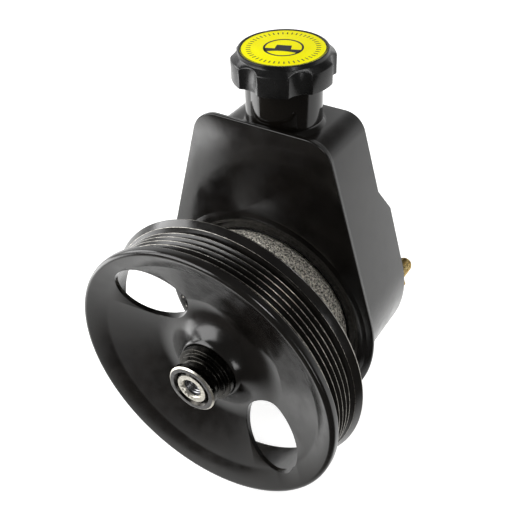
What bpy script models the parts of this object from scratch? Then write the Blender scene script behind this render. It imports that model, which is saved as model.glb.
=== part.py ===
"""Power steering pump: sheet-steel reservoir, cast housing, vane cartridge and six-groove pulley.

Metres, +Z up. The shaft lies along Y with the pulley towards -Y. The origin is on the shaft's
axis, in the plane of the housing's two front mounting faces.
"""
import bmesh
import bpy
from math import acos, asin, atan2, cos, hypot, pi, radians, sin
from mathutils import Matrix, Vector

MM = 0.001

# Clearance between neighbouring pieces, how far a cutter reaches past what it cuts, the edges of
# cast and turned pieces, and how finely round pieces are divided
GAP = 0.3 * MM
OVERSHOOT = 2.0 * MM
EDGE = 1.0 * MM
FINE_EDGE = 0.6 * MM
STEPS_PULLEY = 36
STEPS_BODY = 28
STEPS_NECK = 24
STEPS_SHAFT = 20
STEPS_SMALL = 16
STEPS_BORE = 12
STEPS_PIN = 8

# Drive shaft
SHAFT_RADIUS = 9.5 * MM
SHAFT_HOLE_RADIUS = 4.4 * MM
SHAFT_HOLE_DEPTH = 26.0 * MM
SHAFT_RECESS = 0.4 * MM
SHAFT_CHAMFER = 0.8 * MM
SHAFT_TAIL = 4.2 * MM
SPLINE_ROOT_RADIUS = 7.3 * MM
SPLINE_HEIGHT = 0.7 * MM
SPLINE_TEETH = 8
SPLINE_TIP_HALF_ANGLE = radians(6.0)
SPLINE_ROOT_HALF_ANGLE = radians(9.0)
SPLINE_SLACK_ANGLE = radians(2.0)

# Turned hub of the pulley
HUB_FRONT_Y = -53.4 * MM
HUB_WALL = 1.5 * MM
HUB_END_LIP = 2.6 * MM
HUB_END_LENGTH = 3.6 * MM
HUB_CHAMFER = 0.5 * MM
PULLER_GROOVE_LENGTH = 5.4 * MM
HUB_STEP_LIP = 2.7 * MM
HUB_STEP_LENGTH = 2.6 * MM
HUB_SEAT_RISE = 2.3 * MM
HUB_SHOULDER_RISE = 2.3 * MM
HUB_SHOULDER_LENGTH = 4.0 * MM

# Belt pulley: multi-rib belt form, deep dished web and two kidney openings
RIB_PITCH = 3.56 * MM
RIB_COUNT = 6
RIB_RADIUS = 74.68 * MM
RIB_TIP_WIDTH = 0.8 * MM
GROOVE_DEPTH = 3.0 * MM
REAR_RIB_Y = -20.0 * MM
LIP_RISE = 3.22 * MM
LIP_WIDTH = 5.0 * MM
LIP_LAND = 4.0 * MM
LIP_ROUNDING = 1.3 * MM
FLANGE_RISE = 3.72 * MM
FLANGE_REACH = 3.6 * MM
FLANGE_FLARE = 4.4 * MM
PULLEY_SHEET = 2.6 * MM
RIM_BEND = 1.6 * MM
WEB_SET_BACK = 4.96 * MM
WEB_SLOPE = 0.4
WEB_INNER_RADIUS = 30.0 * MM
COLLAR_LENGTH = 12.0 * MM
WINDOW_ANGLE = radians(-44.0)
WINDOW_LAND = 0.5 * MM
WINDOW_INNER_RADIUS = 15.0 * MM
WINDOW_CORNER_RADIUS = 10.0 * MM
WINDOW_CORNER_ANGLE = radians(8.5)

# Vane cartridge
THRUST_PLATE_THICKNESS = 6.7 * MM
RING_WIDTH = 18.0 * MM
RING_MEAN_RADIUS = 21.6 * MM
RING_LIFT = 1.2 * MM
RING_WALL = 9.4 * MM
ROTOR_ROOM = 0.9 * MM
ROTOR_CORE_WALL = 2.5 * MM
VANE_COUNT = 10
VANE_THICKNESS = 1.6 * MM
VANE_SLACK = 0.2 * MM
VANE_SINK = 0.2 * MM
RETAINING_RING_REACH = 1.6 * MM
RETAINING_RING_THICKNESS = 1.2 * MM
RETAINING_GROOVE_DEPTH = 0.8 * MM
PRESSURE_PLATE_THICKNESS = 10.0 * MM
POCKET_ROOM = 1.0 * MM
POCKET_DEPTH = 5.4 * MM
PORT_RADIUS = 2.4 * MM
PORT_INSET = 2.6 * MM
PORT_ANGLE = radians(40.0)
PLATE_GROOVE_DEPTH = 2.1 * MM
PLATE_GROOVE_WIDTH = 2.4 * MM
PLATE_GROOVE_LAND = 1.4 * MM
PRESSURE_SPRING_RADIUS = 14.0 * MM
PRESSURE_SPRING_WIRE = 1.0 * MM
PRESSURE_SPRING_HEIGHT = 5.0 * MM
PRESSURE_SPRING_TURNS = 1.3
END_PLATE_THICKNESS = 5.5 * MM
SNAP_RING_THICKNESS = 1.4 * MM
SNAP_RING_REACH = 1.8 * MM
SNAP_GROOVE_DEPTH = 1.6 * MM
PIN_RADIUS = 2.0 * MM
PIN_INSET = 4.2 * MM
PIN_ENTRY = 4.4 * MM

# Cast housing
HOUSING_FACE_Y = 5.0 * MM
HOUSING_CORNER = 7.0 * MM
NOSE_RADIUS = 22.0 * MM
NOSE_FRONT_Y = -9.0 * MM
NOSE_FILLET = 5.0 * MM
SEAL_RADIUS = 17.0 * MM
SEAL_LENGTH = 9.0 * MM
SEAL_SHELL = 1.5 * MM
BUSHING_WALL = 2.2 * MM
CHAMBER_FRONT_Y = 22.0 * MM
HOUSING_WALL = 7.0 * MM
REGISTER_STEP = 12.3 * MM
REGISTER_LENGTH = 10.4 * MM
HOUSING_FLANGE_RISE = 1.7 * MM
SEAL_GROOVE_DEPTH = 2.4 * MM
SEAL_GROOVE_WIDTH = 3.4 * MM
BOSS_RADIUS = 9.0 * MM
BOSS_DISTANCE = 38.0 * MM
BOLT_HOLE_RADIUS = 4.2 * MM
BOLT_HOLE_DEPTH = 15.0 * MM
SEAT_LAND = 0.9 * MM

# Flow control valve and outlet union, parallel to the shaft
VALVE_ANGLE = radians(122.28)
VALVE_WALL = 3.8 * MM
VALVE_LOBE_WALL = 2.1 * MM
UNION_BORE_RADIUS = 9.2 * MM
UNION_SHOULDER = 1.3 * MM
UNION_THREAD_LENGTH = 9.3 * MM
UNION_NOSE_LENGTH = 2.0 * MM
UNION_PORT_RADIUS = 3.4 * MM
UNION_HEX = 24.0 * MM
UNION_HEX_LENGTH = 6.0 * MM
UNION_END_RADIUS = 7.0 * MM
UNION_END_LENGTH = 11.0 * MM
UNION_END_TAPER = 2.0 * MM
SPOOL_LENGTH = 16.0 * MM
SPOOL_LAND = 5.0 * MM
SPOOL_GROOVE_DEPTH = 1.6 * MM
SPOOL_WALL = 1.8 * MM
SPOOL_END_WALL = 3.4 * MM
SPOOL_SEAT_RADIUS = 1.4 * MM
VALVE_SPRING_LENGTH = 9.7 * MM
VALVE_SPRING_INSET = 2.3 * MM
VALVE_SPRING_WIRE = 0.8 * MM
VALVE_SPRING_TURNS = 3.0
RELIEF_BALL_RADIUS = 2.2 * MM
RELIEF_GUIDE_THICKNESS = 2.0 * MM
RELIEF_PLUG_THICKNESS = 2.4 * MM
RELIEF_PLUG_HOLE_RADIUS = 1.0 * MM
RELIEF_SPRING_INSET = 1.6 * MM
RELIEF_SPRING_WIRE = 0.4 * MM
RELIEF_SPRING_TURNS = 1.5
PASSAGE_RADIUS = 2.5 * MM
PASSAGE_ENTRY = 4.0 * MM

# Reservoir: front plate, can behind it and the filler neck
PLATE_FRONT_Y = 18.0 * MM
PLATE_SHEET = 1.7 * MM
PLATE_TOP_Z = 115.6 * MM
PLATE_TOP_HALF_WIDTH = 36.6 * MM
PLATE_CORNER_RADIUS = 12.5 * MM
DISH_MARGIN = 6.7 * MM
DISH_DEPTH = 0.9 * MM
DISH_BEND = 0.8 * MM
COLLAR_BEND = 2.6 * MM
LOBE_ROOM = 3.1 * MM
CAN_INSET = 7.0 * MM
CAN_WALL = 1.6 * MM
CAN_CORNER_RADIUS = 12.0 * MM
CAN_FLANGE_INSET = 0.8 * MM
CAN_REAR_RADIUS = 5.0 * MM
CAN_STEP = 8.6 * MM
STEP_ROOM = 3.5 * MM
STEP_RISE = 14.0 * MM
NECK_FORWARD = 1.0 * MM
NECK_RADIUS = 18.8 * MM
NECK_WALL = 1.4 * MM
NECK_HEIGHT = 29.4 * MM
NECK_FOOT = 0.6 * MM
NECK_LIP_WIDTH = 4.8 * MM
NECK_LIP_THICKNESS = 2.4 * MM
NOTCH_WIDTH = 12.0 * MM
RETURN_X = -20.0 * MM
RETURN_RADIUS = 5.0 * MM
RETURN_WALL = 1.1 * MM
RETURN_LENGTH = 27.0 * MM
RETURN_FOOT_RADIUS = 8.0 * MM
RETURN_FOOT_THICKNESS = 1.5 * MM
RETURN_BEAD = 0.9 * MM
RETURN_BEAD_INSET = 3.0 * MM

# Rear mounting studs and the ears that carry them
STUD_ROOM = 1.4 * MM
STUD_Z = -3.0 * MM
STUD_RADIUS = 4.6 * MM
STUD_ROOT_RADIUS = 3.8 * MM
STUD_REACH = 25.0 * MM
STUD_CHAMFER = 1.2 * MM
STUD_HEX = 14.0 * MM
STUD_HEX_LENGTH = 5.8 * MM
STUD_ENGAGEMENT = 16.0 * MM
WASHER_THICKNESS = 1.4 * MM
EAR_RADIUS = 7.0 * MM
EAR_LENGTH = 22.0 * MM
EAR_WEB_SHARE = 0.8
SPIGOT_RADIUS = 5.6 * MM
SPIGOT_LENGTH = 4.8 * MM

# Magnet that catches metal dust
MAGNET_RADIUS = 4.2 * MM
MAGNET_THICKNESS = 3.6 * MM
MAGNET_POCKET_DEPTH = 3.0 * MM

# Cap, its label, gasket and dipstick
GASKET_THICKNESS = 2.0 * MM
GASKET_INSET = 0.4 * MM
CAP_CROWN = 6.1 * MM
CAP_HEIGHT = 13.7 * MM
CAP_SHOULDER_DROP = 4.7 * MM
CAP_RIM_DROP = 1.4 * MM
CAP_RIM_MARGIN = 2.9 * MM
CAP_LOBES = 6
CAP_LOBE_RISE = 3.4 * MM
CAP_LOBE_ANGLE = radians(-71.1)
CAP_SKIRT_WALL = 2.1 * MM
CAP_SKIRT_SLACK = 0.5 * MM
LABEL_MARGIN = 1.6 * MM
LABEL_THICKNESS = 0.4 * MM
LABEL_RECESS = 0.9 * MM
STEM_SLACK = 0.6 * MM
LUG_SLACK = 0.8 * MM
LUG_WIDTH = 10.0 * MM
LUG_HEIGHT = 3.7 * MM
LUG_DROP = 0.4 * MM
DIPSTICK_WIDTH = 5.0 * MM
DIPSTICK_THICKNESS = 1.8 * MM
DIPSTICK_ROOM = 24.0 * MM
DIPSTICK_PEG_RADIUS = 2.6 * MM
DIPSTICK_PEG_LENGTH = 5.6 * MM

# Radii that follow from one another, from the shaft outwards
SPLINE_TIP_RADIUS = SPLINE_ROOT_RADIUS + SPLINE_HEIGHT
SLOT_FLOOR_RADIUS = SPLINE_TIP_RADIUS + GAP + ROTOR_CORE_WALL
RETAINING_GROOVE_RADIUS = SPLINE_ROOT_RADIUS - RETAINING_GROOVE_DEPTH
RETAINING_RING_RADIUS = SPLINE_TIP_RADIUS + RETAINING_RING_REACH
POCKET_RADIUS = RETAINING_RING_RADIUS + POCKET_ROOM
BUSHING_BORE_RADIUS = SHAFT_RADIUS + GAP + BUSHING_WALL + GAP
PULLER_GROOVE_RADIUS = SHAFT_RADIUS + GAP + HUB_WALL
HUB_END_RADIUS = PULLER_GROOVE_RADIUS + HUB_END_LIP
HUB_STEP_RADIUS = PULLER_GROOVE_RADIUS + HUB_STEP_LIP
HUB_RADIUS = HUB_STEP_RADIUS + HUB_SEAT_RISE
HUB_SHOULDER_RADIUS = HUB_RADIUS + HUB_SHOULDER_RISE
LIP_RADIUS = RIB_RADIUS + LIP_RISE
FLANGE_RADIUS = RIB_RADIUS + FLANGE_RISE
ROTOR_RADIUS = RING_MEAN_RADIUS - RING_LIFT - ROTOR_ROOM
PORT_DISTANCE = RING_MEAN_RADIUS - PORT_INSET
CHAMBER_RADIUS = RING_MEAN_RADIUS + RING_WALL
CARTRIDGE_RADIUS = CHAMBER_RADIUS - GAP
PIN_DISTANCE = CARTRIDGE_RADIUS - PIN_INSET
HOUSING_RADIUS = CHAMBER_RADIUS + HOUSING_WALL
REGISTER_RADIUS = HOUSING_RADIUS + REGISTER_STEP
HOUSING_FLANGE_RADIUS = REGISTER_RADIUS + HOUSING_FLANGE_RISE
DISH_RADIUS = REGISTER_RADIUS + DISH_MARGIN
VALVE_BORE_RADIUS = UNION_BORE_RADIUS - UNION_SHOULDER
VALVE_LOBE_RADIUS = UNION_BORE_RADIUS + VALVE_LOBE_WALL
UNION_NOSE_RADIUS = VALVE_BORE_RADIUS - 2 * GAP
SPOOL_GROOVE_RADIUS = VALVE_BORE_RADIUS - GAP - SPOOL_GROOVE_DEPTH
SPOOL_BORE_RADIUS = SPOOL_GROOVE_RADIUS - SPOOL_WALL
VALVE_SPRING_RADIUS = VALVE_BORE_RADIUS - VALVE_SPRING_INSET
RELIEF_SPRING_RADIUS = SPOOL_BORE_RADIUS - RELIEF_SPRING_INSET
VALVE_DISTANCE = CHAMBER_RADIUS + VALVE_WALL + UNION_BORE_RADIUS
VALVE_X = VALVE_DISTANCE * cos(VALVE_ANGLE)
VALVE_Z = VALVE_DISTANCE * sin(VALVE_ANGLE)
CAN_INNER_RADIUS = VALVE_DISTANCE + VALVE_LOBE_RADIUS + LOBE_ROOM
PLATE_ROUND_RADIUS = CAN_INNER_RADIUS + CAN_WALL + CAN_INSET
STUD_X = CAN_INNER_RADIUS - STUD_ROOM - EAR_RADIUS
MAGNET_Z = -(HOUSING_RADIUS + REGISTER_RADIUS) / 2
NECK_LIP_RADIUS = NECK_RADIUS - NECK_LIP_WIDTH
STEM_RADIUS = NECK_LIP_RADIUS - STEM_SLACK
LUG_RADIUS = NECK_RADIUS - NECK_WALL - LUG_SLACK
CAP_SKIRT_RADIUS = NECK_RADIUS + CAP_SKIRT_SLACK
CAP_SCALLOP_RADIUS = CAP_SKIRT_RADIUS + CAP_SKIRT_WALL
CAP_RIM_RADIUS = NECK_RADIUS + CAP_RIM_MARGIN
CAP_LOBE_RADIUS = CAP_RIM_RADIUS + CAP_LOBE_RISE
LABEL_RADIUS = CAP_RIM_RADIUS - LABEL_MARGIN

# Places along the shaft that follow from one another
THRUST_FRONT_Y = CHAMBER_FRONT_Y + GAP
THRUST_REAR_Y = THRUST_FRONT_Y + THRUST_PLATE_THICKNESS
RING_FRONT_Y = THRUST_REAR_Y + GAP
RING_REAR_Y = RING_FRONT_Y + RING_WIDTH
PRESSURE_FRONT_Y = RING_REAR_Y + GAP
PRESSURE_REAR_Y = PRESSURE_FRONT_Y + PRESSURE_PLATE_THICKNESS
END_PLATE_FRONT_Y = PRESSURE_REAR_Y + GAP + PRESSURE_SPRING_HEIGHT + GAP
END_PLATE_REAR_Y = END_PLATE_FRONT_Y + END_PLATE_THICKNESS
SNAP_FRONT_Y = END_PLATE_REAR_Y + GAP
SNAP_REAR_Y = SNAP_FRONT_Y + SNAP_RING_THICKNESS
HOUSING_REAR_Y = SNAP_REAR_Y + SEAT_LAND
REGISTER_FRONT_Y = PLATE_FRONT_Y + DISH_DEPTH - GAP
REGISTER_REAR_Y = REGISTER_FRONT_Y + REGISTER_LENGTH
SEAL_GROOVE_Y = REGISTER_FRONT_Y + COLLAR_BEND + GAP
SEAL_REAR_Y = NOSE_FRONT_Y + SEAL_LENGTH + GAP
CAN_FRONT_Y = PLATE_FRONT_Y + PLATE_SHEET + GAP
CAN_REAR_Y = HOUSING_REAR_Y + GAP + CAN_WALL
CAN_UPPER_REAR_Y = CAN_REAR_Y - CAN_STEP
NECK_Y = (CAN_FRONT_Y + CAN_UPPER_REAR_Y) / 2 - NECK_FORWARD
UNION_FRONT_Y = HOUSING_REAR_Y - UNION_THREAD_LENGTH - UNION_NOSE_LENGTH
SPOOL_REAR_Y = UNION_FRONT_Y - GAP
SPOOL_FRONT_Y = SPOOL_REAR_Y - SPOOL_LENGTH
VALVE_BORE_FRONT_Y = SPOOL_FRONT_Y - VALVE_SPRING_LENGTH
SHAFT_FRONT_Y = HUB_FRONT_Y + SHAFT_RECESS
SHAFT_SHOULDER_Y = CHAMBER_FRONT_Y + GAP
SHAFT_REAR_Y = RING_REAR_Y + SHAFT_TAIL

# Heights that follow from one another
STEP_LOW_Z = VALVE_Z + VALVE_LOBE_RADIUS + STEP_ROOM
STEP_HIGH_Z = STEP_LOW_Z + STEP_RISE
CAN_TOP_Z = PLATE_TOP_Z - CAN_INSET
RETURN_Z = (STEP_HIGH_Z + CAN_TOP_Z) / 2
NECK_TOP_Z = CAN_TOP_Z + NECK_HEIGHT
LUG_TOP_Z = NECK_TOP_Z - NECK_LIP_THICKNESS - LUG_DROP
STEM_BOTTOM_Z = LUG_TOP_Z - LUG_HEIGHT - GAP
CAP_CEILING_Z = NECK_TOP_Z + GAP + GASKET_THICKNESS + GAP
CAP_TOP_Z = CAP_CEILING_Z + CAP_CROWN
CAP_SHOULDER_Z = CAP_TOP_Z - CAP_SHOULDER_DROP
CAP_SKIRT_Z = CAP_TOP_Z - CAP_HEIGHT
DIPSTICK_BOTTOM_Z = HOUSING_RADIUS + DIPSTICK_ROOM

FINISHES = {
    "black_cast": ((0.018, 0.018, 0.019), 0.62, 0.3),
    "black_paint": ((0.010, 0.010, 0.011), 0.22, 0.0),
    "black_plastic": ((0.014, 0.014, 0.015), 0.38, 0.0),
    "yellow_label": ((0.95, 0.88, 0.02), 0.35, 0.0),
    "bright_steel": ((0.55, 0.54, 0.52), 0.25, 1.0),
    "dark_steel": ((0.16, 0.16, 0.165), 0.4, 1.0),
    "spring_steel": ((0.32, 0.32, 0.33), 0.3, 1.0),
    "yellow_zinc": ((0.62, 0.45, 0.18), 0.35, 1.0),
    "bronze": ((0.52, 0.33, 0.14), 0.35, 1.0),
    "rubber": ((0.012, 0.012, 0.012), 0.75, 0.0),
    "magnet_grey": ((0.10, 0.10, 0.11), 0.55, 0.6),
}


def clear_scene():
    for obj in list(bpy.data.objects):
        bpy.data.objects.remove(obj, do_unlink=True)


def new_collection(name):
    collection = bpy.data.collections.new(name)
    bpy.context.scene.collection.children.link(collection)
    return collection


clear_scene()
PARTS = new_collection("power_steering_pump")
CUTTERS = new_collection("cutters")


def paint(obj, finish):
    """Give a piece its own Principled material."""
    colour, roughness, metallic = FINISHES[finish]
    material = bpy.data.materials.new(obj.name + "_" + finish)
    material.use_nodes = True
    shader = material.node_tree.nodes["Principled BSDF"]
    shader.inputs["Base Color"].default_value = (*colour, 1.0)
    shader.inputs["Roughness"].default_value = roughness
    shader.inputs["Metallic"].default_value = metallic
    obj.data.materials.clear()
    obj.data.materials.append(material)


def add(name, data, finish=None):
    """Link an object as a part when it has a finish, and as a hidden cutter when it has none."""
    obj = bpy.data.objects.new(name, data)
    if finish:
        PARTS.objects.link(obj)
        paint(obj, finish)
    else:
        CUTTERS.objects.link(obj)
        obj.hide_render = True
        obj.display_type = "WIRE"
    return obj


def place(obj, along, centre):
    """Turn local +Z to the front (-Y) or leave it up, with the axis through centre."""
    if along == "Y":
        obj.rotation_euler = (pi / 2, 0, 0)
        obj.location = (centre[0], 0, centre[1])
    else:
        obj.location = (centre[0], centre[1], 0)


def lathe(name, profile, steps, finish=None, along="Y", centre=(0, 0), closed=True):
    """Turn a profile of (radius, place) points; along Y the places are world y, front first."""
    sign = -1 if along == "Y" else 1
    points = [(radius, 0, sign * height) for radius, height in profile]
    count = len(points)
    edges = [(i, i + 1) for i in range(count - 1)]
    if closed:
        edges.append((count - 1, 0))
    mesh = bpy.data.meshes.new(name)
    mesh.from_pydata(points, edges, [])
    obj = add(name, mesh, finish)
    place(obj, along, centre)
    screw = obj.modifiers.new("turn", "SCREW")
    screw.angle = 2 * pi
    screw.steps = steps
    screw.render_steps = steps
    screw.use_merge_vertices = True
    screw.merge_threshold = 0.00001
    return obj


def rod(name, radius, low, high, centre, sides=STEPS_SMALL, finish=None, along="Y"):
    """A plain cylinder between two places along Y or Z."""
    shape = bmesh.new()
    bmesh.ops.create_cone(shape, cap_ends=True, segments=sides, radius1=radius, radius2=radius,
                          depth=high - low)
    mesh = bpy.data.meshes.new(name)
    shape.to_mesh(mesh)
    shape.free()
    obj = add(name, mesh, finish)
    middle = (low + high) / 2
    if along == "Y":
        obj.rotation_euler = (pi / 2, 0, 0)
        obj.location = (centre[0], middle, centre[1])
    else:
        obj.location = (centre[0], centre[1], middle)
    return obj


def block(name, low, high, finish=None):
    """A box between two corners."""
    shape = bmesh.new()
    bmesh.ops.create_cube(shape, size=1.0)
    size = [high[i] - low[i] for i in range(3)]
    bmesh.ops.scale(shape, vec=size, verts=shape.verts)
    mesh = bpy.data.meshes.new(name)
    shape.to_mesh(mesh)
    shape.free()
    obj = add(name, mesh, finish)
    obj.location = [(low[i] + high[i]) / 2 for i in range(3)]
    return obj


def extruded(name, loops, low, high, finish=None, along="Y", merge_flats=False):
    """A flat outline, with any holes, given thickness along Y or Z and turned into a mesh."""
    curve = bpy.data.curves.new(name + "_outline", "CURVE")
    curve.dimensions = "2D"
    curve.fill_mode = "BOTH"
    curve.extrude = (high - low) / 2
    for loop in loops:
        spline = curve.splines.new("POLY")
        spline.points.add(len(loop) - 1)
        for point, (u, v) in zip(spline.points, loop):
            point.co = (u, v, 0, 1)
        spline.use_cyclic_u = True
    guide = bpy.data.objects.new(name + "_guide", curve)
    CUTTERS.objects.link(guide)
    bpy.context.view_layer.update()
    evaluated = guide.evaluated_get(bpy.context.evaluated_depsgraph_get())
    mesh = bpy.data.meshes.new_from_object(evaluated)
    bpy.data.objects.remove(guide, do_unlink=True)
    shape = bmesh.new()
    shape.from_mesh(mesh)
    bmesh.ops.remove_doubles(shape, verts=shape.verts, dist=0.000001)
    if merge_flats:
        bmesh.ops.dissolve_limit(shape, angle_limit=radians(0.5), verts=shape.verts, edges=shape.edges)
    bmesh.ops.recalc_face_normals(shape, faces=shape.faces)
    shape.to_mesh(mesh)
    shape.free()
    obj = add(name, mesh, finish)
    middle = (low + high) / 2
    if along == "Y":
        obj.rotation_euler = (pi / 2, 0, 0)
        obj.location = (0, middle, 0)
    else:
        obj.location = (0, 0, middle)
    return obj


def boolean(target, tool, operation):
    """Keep the named tool as a cutter and apply it with a Boolean modifier."""
    modifier = target.modifiers.new(operation.lower() + "_" + tool.name, "BOOLEAN")
    modifier.operation = operation
    modifier.solver = "EXACT"
    modifier.object = tool
    return modifier


def cut(target, tool):
    return boolean(target, tool, "DIFFERENCE")


def join(target, tool):
    return boolean(target, tool, "UNION")


def common(target, tool):
    return boolean(target, tool, "INTERSECT")


def arc(centre, radius, start, end, steps):
    """Points on an arc, both ends included."""
    turn = (end - start) / steps
    return [(centre[0] + radius * cos(start + turn * i), centre[1] + radius * sin(start + turn * i))
            for i in range(steps + 1)]


def circle(centre, radius, steps):
    return arc(centre, radius, 0, 2 * pi, steps)[:-1]


def hexagon(centre, across_flats):
    return circle(centre, across_flats / 2 / cos(pi / 6), 6)


def ring_section(radius, thickness, middle, sides=5):
    """Profile of an O-ring, front first and down its outer side."""
    return [(radius + thickness * sin(2 * pi * i / sides), middle - thickness * cos(2 * pi * i / sides))
            for i in range(sides)]


def coil(name, radius, wire, low, high, turns, centre, finish, points_per_turn=9):
    """A helical spring along Y between two planes."""
    count = round(turns * points_per_turn)
    curve = bpy.data.curves.new(name, "CURVE")
    curve.dimensions = "3D"
    spline = curve.splines.new("POLY")
    spline.points.add(count)
    for i, point in enumerate(spline.points):
        angle = 2 * pi * turns * i / count
        y = low + wire + (high - low - 2 * wire) * i / count
        point.co = (radius * cos(angle), y, radius * sin(angle), 1)
    curve.bevel_depth = wire
    curve.bevel_resolution = 1
    curve.use_fill_caps = True
    obj = add(name, curve, finish)
    obj.location = (centre[0], 0, centre[1])
    return obj


def hang(children, name, location):
    """Parent pieces to an empty on their joint's axis and leave them where they are."""
    empty = bpy.data.objects.new(name, None)
    empty.location = location
    PARTS.objects.link(empty)
    for child in children:
        child.parent = empty
        child.matrix_parent_inverse = Matrix.Translation(location).inverted()
    return empty


def teardrop(inset, corner_radius):
    """The reservoir's outline: flat top, straight sides and a round bottom about the shaft."""
    reach = hypot(PLATE_TOP_HALF_WIDTH, PLATE_TOP_Z)
    lean = atan2(PLATE_TOP_Z, PLATE_TOP_HALF_WIDTH) - acos(PLATE_ROUND_RADIUS / reach)
    radius = PLATE_ROUND_RADIUS - inset
    top = PLATE_TOP_Z - inset
    corner_z = top - corner_radius
    corner_x = (radius - corner_radius - corner_z * sin(lean)) / cos(lean)
    right = arc((corner_x, corner_z), corner_radius, pi / 2, lean, 4)
    bottom = arc((0, 0), radius, lean, -pi - lean, 26)
    left = arc((-corner_x, corner_z), corner_radius, pi - lean, pi / 2, 4)
    return right + bottom + left


def lobed_outline():
    """Cap outline: rounded lobes with scallops between them, about the neck's axis."""
    pitch = 2 * pi / CAP_LOBES
    depth = CAP_LOBE_RADIUS - CAP_SCALLOP_RADIUS
    crest = [(-0.27, 1.0), (-0.09, 1.0), (0.09, 1.0), (0.27, 1.0)]
    scallop = [(0.37, 0.25), (0.5, 0.0), (0.63, 0.25)]
    points = []
    for lobe in range(CAP_LOBES):
        for share, height in crest + scallop:
            angle = CAP_LOBE_ANGLE + pitch * (lobe + share)
            radius = CAP_SCALLOP_RADIUS + depth * height
            points.append((radius * cos(angle), NECK_Y + radius * sin(angle)))
    return points


def toothed_outline(root, tip, root_half, tip_half):
    """Spline outline with straight-sided teeth."""
    corners = ((root, -root_half), (tip, -tip_half), (tip, tip_half), (root, root_half))
    points = []
    for tooth in range(SPLINE_TEETH):
        middle = 2 * pi * tooth / SPLINE_TEETH
        for radius, offset in corners:
            points.append((radius * cos(middle + offset), radius * sin(middle + offset)))
    return points


def open_ring(inner, outer, half_gap, steps):
    """Outline of a C-shaped retaining ring, open towards +X."""
    outside = arc((0, 0), outer, half_gap, 2 * pi - half_gap, steps)
    inside = arc((0, 0), inner, 2 * pi - half_gap, half_gap, steps)
    return outside + inside


def make_pulley():
    """Rolled rim, dished web and collar; also gives the plane that the hub's shoulder seats on."""
    floor = RIB_RADIUS - GROOVE_DEPTH
    front_rib = REAR_RIB_Y - RIB_PITCH * (RIB_COUNT - 1)
    lip_rear = front_rib - RIB_PITCH + RIB_TIP_WIDTH / 2
    lip_front = lip_rear - LIP_WIDTH
    flange_front = REAR_RIB_Y + FLANGE_REACH
    inner = floor - PULLEY_SHEET
    web_radius = inner - RIM_BEND
    web_outer_y = lip_front + WEB_SET_BACK
    web_inner_y = web_outer_y + WEB_SLOPE * (web_radius - WEB_INNER_RADIUS)
    collar_outer = HUB_RADIUS + GAP + PULLEY_SHEET
    collar_front = web_inner_y - COLLAR_LENGTH
    seat_y = web_inner_y + PULLEY_SHEET + EDGE
    bend = (WEB_INNER_RADIUS - collar_outer) / 2
    profile = [(web_radius + 2 * RIM_BEND, web_outer_y - 1.5 * RIM_BEND), (LIP_RADIUS - LIP_LAND, lip_front),
               (LIP_RADIUS - LIP_ROUNDING, lip_front), (LIP_RADIUS, lip_front + LIP_ROUNDING),
               (LIP_RADIUS, lip_rear)]
    for rib in range(RIB_COUNT):
        rib_y = front_rib + RIB_PITCH * rib
        profile.append((floor, rib_y - RIB_PITCH / 2))
        profile.append((RIB_RADIUS, rib_y - RIB_TIP_WIDTH / 2))
        if rib < RIB_COUNT - 1:
            profile.append((RIB_RADIUS, rib_y + RIB_TIP_WIDTH / 2))
    profile += [(FLANGE_RADIUS, flange_front), (FLANGE_RADIUS - FINE_EDGE, flange_front + FINE_EDGE),
                (inner + FLANGE_FLARE, flange_front + FINE_EDGE), (inner, REAR_RIB_Y + FINE_EDGE),
                (inner, web_outer_y + PULLEY_SHEET + RIM_BEND), (web_radius, web_outer_y + PULLEY_SHEET),
                (WEB_INNER_RADIUS, web_inner_y + PULLEY_SHEET), (collar_outer + bend, seat_y),
                (HUB_RADIUS + GAP, seat_y), (HUB_RADIUS + GAP, collar_front),
                (collar_outer - FINE_EDGE, collar_front), (collar_outer, collar_front + FINE_EDGE),
                (collar_outer, web_inner_y - bend), (collar_outer + bend * 0.4, web_inner_y - bend * 0.2),
                (WEB_INNER_RADIUS - bend * 0.5, web_inner_y + FINE_EDGE / 2),
                (WEB_INNER_RADIUS, web_inner_y), (web_radius, web_outer_y)]
    pulley = lathe("pulley", profile, STEPS_PULLEY, "black_paint")
    for number in range(2):
        outline = window_outline(WINDOW_ANGLE + pi * number, web_radius - WINDOW_LAND)
        window = extruded("pulley_window_%d" % (number + 1), [outline], lip_front - OVERSHOOT,
                          flange_front + OVERSHOOT)
        cut(pulley, window)
    return pulley, seat_y


def window_outline(axis, reach):
    """Kidney opening about a radial line: round inner end, two rounded outer corners."""
    inner = (WEB_INNER_RADIUS + WINDOW_LAND + WINDOW_INNER_RADIUS, 0)
    distance = reach - WINDOW_CORNER_RADIUS
    corner = (distance * cos(WINDOW_CORNER_ANGLE), distance * sin(WINDOW_CORNER_ANGLE))
    run = Vector((corner[0] - inner[0], corner[1] - inner[1]))
    lean = asin((WINDOW_INNER_RADIUS - WINDOW_CORNER_RADIUS) / run.length)
    tangent = atan2(run.y, run.x) + pi / 2 - lean
    points = arc(inner, WINDOW_INNER_RADIUS, tangent, 2 * pi - tangent, 6)
    points += arc((corner[0], -corner[1]), WINDOW_CORNER_RADIUS, -tangent, -WINDOW_CORNER_ANGLE, 3)
    points += [(reach, 0)]
    points += arc(corner, WINDOW_CORNER_RADIUS, WINDOW_CORNER_ANGLE, tangent, 3)
    return [(u * cos(axis) - v * sin(axis), u * sin(axis) + v * cos(axis)) for u, v in points]


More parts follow.
